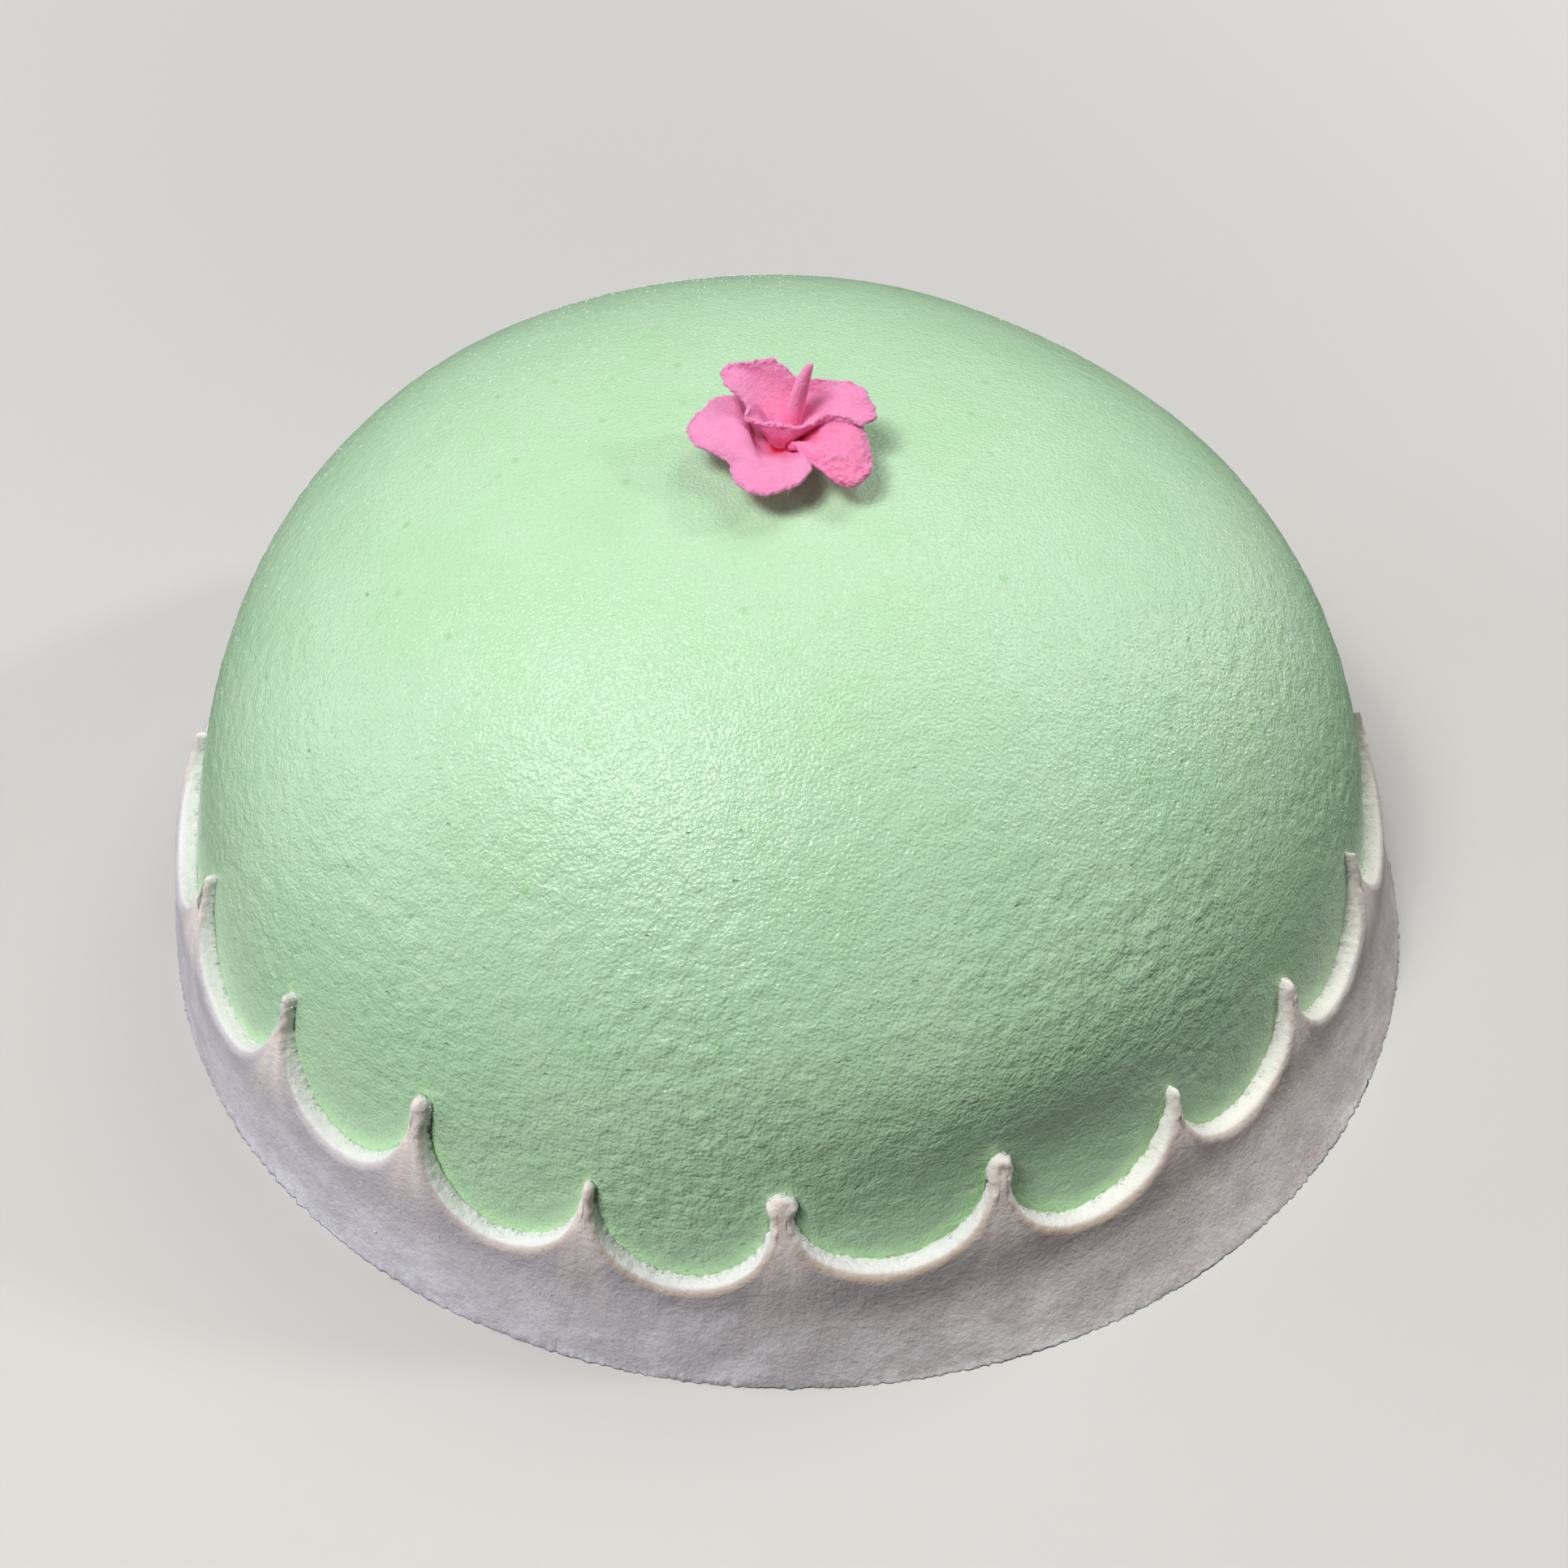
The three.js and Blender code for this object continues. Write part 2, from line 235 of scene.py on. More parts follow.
@dataclass
class MeshPlan:
    """Points and faces of a mesh that is being put together."""

    points: list[Array] = field(default_factory=list)
    faces: list[Array] = field(default_factory=list)

    @property
    def count(self) -> int:
        """How many points there are so far."""
        return sum(len(points) for points in self.points)

    def add(self, points: Array) -> Array:
        """Adds a grid or list of points and returns their numbers in the same layout."""
        self.points.append(points.reshape(-1, 3))
        return np.arange(self.count - len(self.points[-1]), self.count).reshape(points.shape[:-1])

    def grid(self, points: Array, weave: Weave) -> Array:
        """Adds a grid of points and its quads, and returns the points' numbers."""
        self.faces.append(grid_quads(index := self.add(points), weave))
        return index

    def rings(self, points: Array, base: Array, tip: Array) -> None:
        """Adds rings of points, the first closed to a base and the last to a tip.

        Args:
            points: grid of points, a row for each ring, anticlockwise seen from the tip.
            base: the point that the first ring closes to.
            tip: the point that the last ring closes to.
        """
        index = self.grid(points, Weave.TUBE)
        ends = self.add(np.stack([base, tip]))
        self.faces.append(np.concatenate([
            np.stack([ring, np.roll(ring, -1), np.full(len(ring), end)], axis=-1)
            for ring, end in zip((index[0][::-1], index[-1]), ends)
        ]))

    def build(self, name: str, values: dict[str, Array] | None = None) -> Piece:
        """Makes the Blender object, with smooth faces and one value a point for each name.

        Args:
            name: the piece's name.
            values: point attributes, in the order in which the points were added.

        Returns:
            The new object, at the origin.
        """
        mesh = bpy.data.meshes.new(name)
        faces = [face for block in self.faces for face in block.tolist()]
        mesh.from_pydata(np.concatenate(self.points).tolist(), [], faces)
        mesh.polygons.foreach_set("use_smooth", np.ones(len(faces), dtype=bool))
        for title, numbers in (values or {}).items():
            layer = mesh.attributes.new(title, "FLOAT", "POINT")
            layer.data.foreach_set("value", np.asarray(numbers, dtype=np.float32).ravel())
        mesh.update()
        return placed(name, mesh)


def smooth_curve(knots: Array, times: Array, moments: Array) -> Array:
    """Points of a smooth curve through knots: cubic Hermite pieces, whose slope at each knot
    is that from the knot before to the knot after.

    Args:
        knots: places that the curve passes; its first axis is the order along the curve.
        times: when the curve passes each of them.
        moments: when to take the points.

    Returns:
        One place for each moment, in the layout of the knots.
    """
    slopes = np.gradient(knots, times, axis=0)
    piece = np.clip(np.searchsorted(times, moments, side="right") - 1, 0, len(times) - 2)
    wide = (-1,) + (1,) * (knots.ndim - 1)
    span = (times[piece + 1] - times[piece]).reshape(wide)
    part = (moments - times[piece]).reshape(wide) / span
    return (
        (2 * part**3 - 3 * part**2 + 1) * knots[piece]
        + (part**3 - 2 * part**2 + part) * slopes[piece] * span
        + (3 * part**2 - 2 * part**3) * knots[piece + 1]
        + (part**3 - part**2) * slopes[piece + 1] * span
    )


# ---------------- shader nodes


def operator(operation: str, swapped: bool = False) -> Callable[["Shade", "Operand"], "Shade"]:
    """A method that joins a shade and another value with a Math node, swapped or in order."""
    order = -1 if swapped else 1
    return lambda shade, other: shade.math(operation, *(shade, other)[::order])


class Shade:
    """An output of a node tree that Python's operators work on, one Math node for each."""

    def __init__(self, tree: bpy.types.NodeTree, socket: bpy.types.NodeSocket) -> None:
        """Wraps a socket of a tree."""
        self.tree = tree
        self.socket = socket

    def math(self, operation: str, *values: "Operand") -> "Shade":
        """A Math node's result for some numbers or shades, in order."""
        settings = {"operation": operation}
        return add_node(self.tree, "ShaderNodeMath", settings, dict(enumerate(values)))

    __add__ = __radd__ = operator("ADD")
    __mul__ = __rmul__ = operator("MULTIPLY")
    __sub__ = operator("SUBTRACT")
    __rsub__ = operator("SUBTRACT", swapped=True)
    __truediv__ = operator("DIVIDE")
    __pow__ = operator("POWER")

    def between(self, low: float, high: float) -> "Shade":
        """A smooth step from 0 at low to 1 at high; low may be the larger."""
        inputs = {"Value": self, "From Min": low, "From Max": high}
        return add_node(
            self.tree, "ShaderNodeMapRange", {"interpolation_type": "SMOOTHSTEP"}, inputs,
        )


Operand = Shade | float


def feed(tree: bpy.types.NodeTree, socket: bpy.types.NodeSocket, value: object) -> None:
    """Links a shade to a socket, or sets a number, vector or colour on it.

    Args:
        tree: the node tree.
        socket: the input to feed.
        value: what to feed it.
    """
    if isinstance(value, Shade):
        tree.links.new(value.socket, socket)
    elif socket.type == "RGBA" and len(value) == 3:
        socket.default_value = (*value, 1)
    else:
        socket.default_value = value


def add_node(
    tree: bpy.types.NodeTree, kind: str, settings: dict, inputs: dict, output: str | int = 0,
) -> Shade:
    """Adds a node.

    Args:
        tree: the node tree.
        kind: the node's type.
        settings: properties of the node, set before its inputs.
        inputs: values or shades by socket name or number.
        output: name or number of the output to return.

    Returns:
        The node's output.
    """
    node = tree.nodes.new(kind)
    for title, value in settings.items():
        setattr(node, title, value)
    for title, value in inputs.items():
        feed(tree, node.inputs[title], value)
    return Shade(tree, node.outputs[output])


class Dressing:
    """A material being made: its node tree, its shader and the few nodes that finishes use."""

    def __init__(self, name: str) -> None:
        """Starts a material with one Principled shader.

        Args:
            name: the material's name.
        """
        self.material = bpy.data.materials.new(name)
        self.material.use_nodes = True
        self.tree = self.material.node_tree
        self.shader = self.tree.nodes["Principled BSDF"]
        self.place = self.node("ShaderNodeTexCoord", output="Object")

    def node(
        self, kind: str, inputs: dict | None = None, output: str | int = 0, **settings: object,
    ) -> Shade:
        """One output of a new node with inputs by name or number and further settings."""
        return add_node(self.tree, kind, settings, inputs or {}, output)

    def stretched(self, scale: Triple) -> Shade:
        """Object coordinates with each axis scaled."""
        return self.node("ShaderNodeMapping", {"Vector": self.place, "Scale": scale})

    def noise(
        self, size: float, detail: float = 2, roughness: float = 0.5, scale: Triple = (1, 1, 1),
    ) -> Shade:
        """Noise from 0 to 1: lumps of a size in metres, with finer layers of some strength."""
        inputs = {"Vector": self.stretched(scale), "Scale": 1 / size,
                  "Detail": detail, "Roughness": roughness}
        return self.node("ShaderNodeTexNoise", inputs, "Fac")

    def cells(self, size: float, scale: Triple = (1, 1, 1)) -> Shade:
        """Distance to the nearest of points strewn a size apart, as a share of the size."""
        inputs = {"Vector": self.stretched(scale), "Scale": 1 / size}
        return self.node("ShaderNodeTexVoronoi", inputs, "Distance")

    def value(self, title: str) -> Shade:
        """The mesh's point attribute of that name."""
        return self.node("ShaderNodeAttribute", output="Fac", attribute_name=title)

    def mixed(self, share: Operand, first: object, second: object, way: str = "MIX") -> Shade:
        """Two colours or shades mixed, 0 for the first and 1 for the second, in a way."""
        inputs = {0: share, 6: first, 7: second}
        return self.node(
            "ShaderNodeMix", inputs, 2, data_type="RGBA", blend_type=way, clamp_factor=True,
        )

    def relief(self, height: Shade, depth: float) -> None:
        """Bump on the shader from a height of 0 to 1 that stands for a depth in metres."""
        inputs = {"Height": height, "Distance": depth, "Strength": 1.0}
        self.wire({"Normal": self.node("ShaderNodeBump", inputs, "Normal")})

    def wire(self, values: dict[str, object]) -> None:
        """Feeds the shader's sockets by name."""
        for title, value in values.items():
            feed(self.tree, self.shader.inputs[title], value)

    def softness(self, weight: float, reach: Triple, scale: float) -> None:
        """Light that soaks in and comes out nearby, with a reach for red, green and blue."""
        self.wire({
            "Subsurface Weight": weight, "Subsurface Radius": reach, "Subsurface Scale": scale,
        })


# ---------------- finishes


@dataclass(frozen=True)
class GreenMarzipan:
    """Rolled marzipan, pale green: leathery and finely grained, with pits, tiny dark specks
    and short cracks, with painted bounce light that makes it brighter by the white cut edge."""

    body: Triple = linear(195, 229, 193)
    deep: Triple = linear(178, 221, 175)
    speck: Triple = linear(150, 208, 142)
    crack: Triple = linear(92, 126, 90)
    # Colour of the painted bounce light by the white cut edge.
    glow: Triple = linear(202, 247, 186)
    relief: float = 0.5 * MM

    def material(self) -> bpy.types.Material:
        """Makes the material.

        Returns:
            The material.
        """
        dress = Dressing("green_marzipan")
        coarse = dress.value("coarse")
        glow = dress.value("glow")
        leather = dress.noise(1.9 * MM)
        grain = dress.noise(0.48 * MM, 1)
        patches = dress.noise(16 * MM, 3)
        pits = dress.cells(4.6 * MM).between(0.16, 0.05)
        specks = dress.cells(8.5 * MM).between(0.12, 0.03)
        cracks = dress.cells(7.5 * MM, scale=(1, 1, 2.6)).between(0.07, 0.04)
        cracks = cracks * coarse.between(0.4, 0.6)
        colour = dress.mixed(patches.between(0.35, 0.7) * 0.4, self.body, self.deep)
        colour = dress.mixed(grain.between(0.62, 0.35) * 0.25, colour, self.deep)
        colour = dress.mixed(specks * 0.5, colour, self.speck)
        colour = dress.mixed(cracks * 0.4, colour, self.crack)
        # Painted bounce light: brighter and yellower by the strip's cut edge.
        colour = dress.mixed(glow * 0.9, colour, self.glow)
        dress.wire({
            "Base Color": colour, "Roughness": 0.17 + leather * 0.08, "Specular IOR Level": 0.42,
        })
        rough = coarse**1.3 * (1 - glow * 0.5)
        height = (leather - pits * 0.25) * rough + grain * 0.46 - cracks * 0.4
        dress.relief(height, self.relief)
        dress.softness(0.25, (0.7, 1.0, 0.6), 1.2 * MM)
        return dress.material


@dataclass(frozen=True)
class WhiteMarzipan:
    """Rolled white marzipan: finely rough and a little mauve outside, with smeared pale
    patches, and crumbly where it is cut, with a warm painted shade where the cut edge rolls
    over. Light is painted into it: cooler at the left of the cake and warmer at its right,
    where the cut is painted cream."""

    face: Triple = linear(202, 195, 198)
    smear: Triple = linear(236, 233, 238)
    shade: Triple = linear(183, 173, 174)
    head: Triple = linear(240, 229, 222)
    # Painted shade, warm as light soaked into marzipan, where the cut edge rolls over.
    warm: Triple = linear(212, 190, 162)
    cut: Triple = linear(254, 253, 251)
    # The cut painted creamier at the right, where warmer light falls.
    painted_warm_cut: Triple = linear(251, 247, 237)
    pore: Triple = linear(232, 222, 200)
    # Painted light: a cooler cast at the cake's left and a warmer one at its right.
    painted_cast_left: Triple = (1.0, 1.02, 1.06)
    painted_cast_right: Triple = (0.98, 0.945, 0.885)
    relief: float = 0.3 * MM

    def material(self) -> bpy.types.Material:
        """Makes the material.

        Returns:
            The material.
        """
        dress = Dressing("white_marzipan")
        cut = dress.value("cut")
        pale = dress.value("pale")
        grain = dress.noise(0.9 * MM, 3, 0.6)
        smears = dress.noise(8 * MM, 4, 0.6, scale=(1, 1, 1.8))
        blotches = dress.noise(3.2 * MM, 3, 0.6)
        crumb = dress.noise(0.45 * MM, 3, 0.65)
        side = dress.node("ShaderNodeSeparateXYZ", {0: dress.place}, "X")
        face = dress.mixed(blotches.between(0.64, 0.34) * 0.25, self.face, self.shade)
        smeared = smears.between(0.36, 0.7) * (0.2 + pale * 0.5) + pale * 0.2
        face = dress.mixed(smeared, face, self.smear)
        # Painted light cast: cooler at the left, warmer at the right.
        painted_cast = dress.mixed(side.between(-0.06, 0.06), self.painted_cast_left, self.painted_cast_right)
        face = dress.mixed(1.0, face, painted_cast, "MULTIPLY")
        face = dress.mixed(dress.value("head"), face, self.head)
        # Painted roll shade, across the cake's front only.
        warm = dress.value("warm") * side.between(-0.10, 0.0) * side.between(0.10, 0.04)
        face = dress.mixed(warm * 0.6, face, self.warm)
        # Painted warm light: the cut turns cream towards the cake's right.
        inner = dress.mixed(side.between(-0.02, 0.09), self.cut, self.painted_warm_cut)
        inner = dress.mixed(crumb.between(0.46, 0.3) * 0.5, inner, self.pore)
        dress.wire({
            "Base Color": dress.mixed(cut, face, inner), "Roughness": 0.52 + crumb * 0.2,
            "Specular IOR Level": 0.35,
        })
        height = (grain * 0.7 + blotches * 0.5) * (1 - cut) + crumb * (0.2 + cut * 0.8)
        dress.relief(height, self.relief)
        dress.softness(0.5, (1.0, 0.88, 0.76), 1.5 * MM)
        return dress.material


@dataclass(frozen=True)
class PinkMarzipan:
    """Pink marzipan: soft and finely sandy, with painted crimson shade deep in its folds, and
    paler and crumbly at its rims."""

    body: Triple = linear(255, 160, 205)
    deep: Triple = linear(253, 132, 178)
    # Painted shade in the folds: pink, deepening to crimson in the creases.
    fold: Triple = linear(251, 118, 164)
    painted_crease_shade: Triple = linear(205, 18, 52)
    rim: Triple = linear(255, 160, 204)
    relief: float = 0.5 * MM

    def material(self) -> bpy.types.Material:
        """Makes the material.

        Returns:
            The material.
        """
        dress = Dressing("pink_marzipan")
        rim = dress.value("rim")
        fold = dress.value("fold")
        grain = dress.noise(0.42 * MM, 3, 0.65)
        patches = dress.noise(2.6 * MM, 3)
        colour = dress.mixed(patches.between(0.4, 0.7) * 0.3, self.body, self.deep)
        colour = dress.mixed(grain.between(0.56, 0.36) * 0.3, colour, self.deep)
        # Painted shade: the folds darken to crimson towards the throat.
        colour = dress.mixed(fold.between(0.0, 0.55), colour, self.fold)
        colour = dress.mixed(fold.between(0.5, 1.0), colour, self.painted_crease_shade)
        colour = dress.mixed(rim * grain.between(0.42, 0.6) * 0.4, colour, self.rim)
        dress.wire({
            "Base Color": colour, "Roughness": 0.5 + grain * 0.2, "Specular IOR Level": 0.3,
        })
        dress.relief(grain * (0.7 + rim * 0.3), self.relief)
        dress.softness(0.6, (1.0, 0.45, 0.55), 1.2 * MM)
        return dress.material


@dataclass(frozen=True)
class SugarGlaze:
    """Grains of sugar, white or a little clearer and glossy, with a faint painted glow for glints.
    """

    body: Triple = linear(250, 255, 252)
    clear: Triple = linear(214, 240, 226)
    # Emission strength of the painted glints.
    glow: float = 0.2

    def material(self) -> bpy.types.Material:
        """Makes the material.

        Returns:
            The material.
        """
        dress = Dressing("sugar")
        # The grains glow a little as painted glints, though they are no lamp.
        dress.wire({
            "Base Color": dress.mixed(dress.noise(3 * MM), self.body, self.clear),
            "Roughness": 0.18 + dress.noise(0.8 * MM) * 0.2,
            "Specular IOR Level": 0.6,
            "Emission Color": self.body,
            "Emission Strength": self.glow,
        })
        return dress.material


# ---------------- the dome


@dataclass(frozen=True)
class Lobe:
    """A wave round the dome: how many, their share of the radius and where one is highest."""

    waves: int
    share: float
    peak: float


@dataclass(frozen=True)
class DomeForm:
    """The smooth form of the dome, which the other pieces lie on.

    Its radius is (foot radius - lean * height) * (1 - (height / top)^crown)^(1 / shoulder),
    times 1 plus the lobes' cosines.
    """

    low: Vector
    high: Vector
    wall_lean: float = 0.21
    shoulder: float = 2.52
    crown: float = 3.36
    lobes: tuple[Lobe, ...] = (
        Lobe(2, 0.0089, math.radians(-13)),
        Lobe(3, 0.0097, math.radians(8)),
        Lobe(4, 0.0068, math.radians(2)),
        Lobe(5, 0.0053, 0),
    )

    def lobe_share(self, angle: Array) -> Array:
        """1 + sum of share * cos(waves * (angle - peak))."""
        return 1 + sum(lobe.share * np.cos(lobe.waves * (angle - lobe.peak)) for lobe in self.lobes)

    @cached_property
    def foot_radius(self) -> float:
        """The foot's mean radius, from the solid's width."""
        return (self.high.x - self.low.x) / (self.lobe_share(0) + self.lobe_share(math.pi))

    @cached_property
    def centre(self) -> tuple[float, float]:
        """The dome's axis in plan, from its left and front extremes."""
        left = self.low.x + self.foot_radius * self.lobe_share(math.pi)
        return left, self.low.y + self.foot_radius * self.lobe_share(-math.pi / 2)

    def radius(self, height: Array, angle: Array) -> Array:
        """The dome's radius about its own axis, by the class's formula."""
        rounded = (1 - np.clip(height / self.high.z, 0, 1) ** self.crown) ** (1 / self.shoulder)
        return (self.foot_radius - self.wall_lean * height) * rounded * self.lobe_share(angle)

    def wall(self, height: Array, angle: Array, depth: Array = 0.0) -> Array:
        """Points at a depth outside the dome's surface.

        Args:
            height: height above the foot.
            angle: angle from +X about the dome's axis, in radians.
            depth: distance outwards, measured level.

        Returns:
            An array of points, the last axis being x, y, z.
        """
        radius = self.radius(height, angle) + depth
        x = self.centre[0] + radius * np.cos(angle)
        y = self.centre[1] + radius * np.sin(angle)
        return np.stack(np.broadcast_arrays(x, y, height), axis=-1)

    def ring_heights(self, count: int) -> Array:
        """Heights spread evenly along the profile, from a fine profile of 4000 points.

        Args:
            count: how many heights.

        Returns:
            The heights, from the foot to just under the top.
        """
        sweep = np.linspace(math.pi / 2, 0, 4000)
        height = self.high.z * np.cos(sweep).clip(0) ** (2 / self.crown)
        run = lengths(np.stack([self.radius(height, 0.0), height], axis=-1))
        return np.interp(np.linspace(0, run[-1], count, endpoint=False), run, height)


@dataclass(frozen=True)
class Dent:
    """A shallow hollow in the dome, or a swelling where the depth is below 0: where it is, in
    degrees from the front, how far it reaches and how deep it is."""

    angle: float
    height: float
    width: float
    rise: float
    depth: float

    def at(self, height: Array, angle: Array, radius: float) -> Array:
        """Its depth on a wall of a radius, as a bell across times a bell up.

        Args:
            height: heights on the wall.
            angle: their angles from +X, in radians.
            radius: the wall's radius.

        Returns:
            One depth for each place.
        """
        turn = np.angle(np.exp(1j * (angle - math.radians(self.angle - 90))))
        across = bell(turn * radius, 0, self.width)
        return self.depth * across * bell(height, self.height, self.rise)


@dataclass
class Dome:
    """The cake's dome under its green marzipan."""

    form: DomeForm
    strip: "Strip"
    rings: int = 166
    segments: int = 560
    drape: Noise = Noise(3, 42 * MM, depth=0.22 * MM)
    pebbles: Noise = Noise(5, 2.9 * MM, 2, 0.2 * MM)
    patches: Noise = Noise(8, 30 * MM, depth=0.35)
    foot_and_crown: tuple[float, float] = (1.0, 0.4)
    dents: tuple[Dent, ...] = (
        Dent(16, 47 * MM, 46 * MM, 15 * MM, -1.8 * MM),
        Dent(20, 27 * MM, 30 * MM, 10 * MM, 1.1 * MM),
        Dent(25, 27 * MM, 12 * MM, 9 * MM, 0.5 * MM),
        Dent(-25, 25 * MM, 16 * MM, 8 * MM, 0.4 * MM),
        Dent(150, 30 * MM, 16 * MM, 10 * MM, 0.6 * MM),
    )

    def build(self) -> Piece:
        """Rings of points from the foot to the crown, pushed along their normals by a slow
        drape, a leathery pebbling and the dents, all of which fade out at the foot.

        The marzipan's coarseness is 0.3 on the crown and grows to 1 down the wall, in slow
        patches, and it is smoother again just above the strip. The painted glow is bounce light
        from the strip's cut edge, painted into the marzipan's colour.

        Returns:
            The dome's object.
        """
        heights = self.form.ring_heights(self.rings)[:, None]
        angles = turns(self.segments)[None, :]
        points = self.form.wall(heights, angles)
        coarse = 0.3 + 0.7 * (1 - smoothstep(heights, 45 * MM, 104 * MM))
        coarse = coarse * (0.9 + self.patches.at(points))
        coarse = coarse * blend(0.6, 1, smoothstep(heights, 6 * MM, 26 * MM))
        relief = self.drape.at(points) + coarse**1.5 * self.pebbles.at(points)
        relief -= sum(dent.at(heights, angles, self.form.foot_radius) for dent in self.dents)
        relief *= smoothstep(heights, 0, 3 * MM)
        points = points + grid_normals(points, Weave.TUBE) * relief[..., None]
        top = points[-1].mean(axis=0)
        top[2] = max(top[2], self.form.high.z)
        plan = MeshPlan()
        plan.rings(points, np.array([*self.form.centre, 0.0]), top)
        over_edge = heights - self.strip.edge_height(angles)
        # Mask of painted bounce light from the cut edge, fading out 5 mm above it.
        glow = (1 - smoothstep(over_edge, -2 * MM, 5 * MM)) ** 1.5
        return plan.build("dome_marzipan", {
            "coarse": np.append(coarse, self.foot_and_crown),
            "glow": np.append(glow, [0.0, 0.0]),
        })


# ---------------- the scalloped strip


@dataclass(frozen=True)
class Spike:
    """One spike of the strip's cut edge, and the floor of the scallop to its right.

    The angle is from the front, in degrees. The spike narrows by its taper on the way up, as
    a share of its half width. Its head swells by knob and is pinched by neck below that, both
    as shares, and it leans sideways by lean. Rough says how lumpy its head is.
    """

    angle: float
    tip: float
    floor: float
    half_width: float = 1.1 * MM
    taper: float = 0.35
    knob: float = 0.0
    neck: float = 0.0
    lean: float = 0.0
    rough: float = 0.6


FRONT_SPIKES = (
    Spike(-84.4, 31.0 * MM, 16.2 * MM, 1.1 * MM, 0.3),
    Spike(-63.3, 32.7 * MM, 14.4 * MM, 1.2 * MM, 0.3, lean=0.5 * MM, rough=0.5),
    Spike(-45.6, 33.6 * MM, 15.0 * MM, 1.35 * MM, 0.35, 0.1, 0.1, 0.3 * MM, 0.9),
    Spike(-29.3, 32.6 * MM, 14.5 * MM, 1.6 * MM, 0.15, 0.12, 0.14, 0.2 * MM, 0.8),
    Spike(-13.8, 28.9 * MM, 14.4 * MM, 1.7 * MM, 0.55, lean=0.2 * MM, rough=1.2),
    Spike(1.6, 30.8 * MM, 17.4 * MM, 1.75 * MM, 0.0, 0.3, 0.14, 0.0, 1.0),
    Spike(18.9, 32.0 * MM, 15.6 * MM, 1.9 * MM, 0.1, 0.1, 0.1, 0.9 * MM, 1.8),
    Spike(36.4, 28.6 * MM, 14.4 * MM, 1.5 * MM, 0.6, lean=0.4 * MM, rough=0.7),
    Spike(53.0, 29.4 * MM, 14.8 * MM, 1.5 * MM, 0.2, lean=0.3 * MM, rough=0.4),
    Spike(69.3, 33.2 * MM, 16.8 * MM, 1.2 * MM, 0.85, lean=-0.3 * MM, rough=0.5),
    Spike(89.8, 32.5 * MM, 16.5 * MM, 1.2 * MM, 0.8, rough=0.5),
)


@dataclass
class Outline:
    """The strip's cut edge as columns: places along the strip, heights, the even places of
    the foot, and what each column's spike and scallop are like."""

    along: Array
    height: Array
    foot: Array
    centre: Array
    floor: Array
    width: Array
    tip: Array
    half_width: Array
    taper: Array
    knob: Array
    neck: Array
    lean: Array
    rough: Array

    def level(self, height: Array) -> Array:
        """Heights between their columns' scallop floors (0) and spikes' tips (1)."""
        return (height - self.floor) / (self.tip - self.floor)


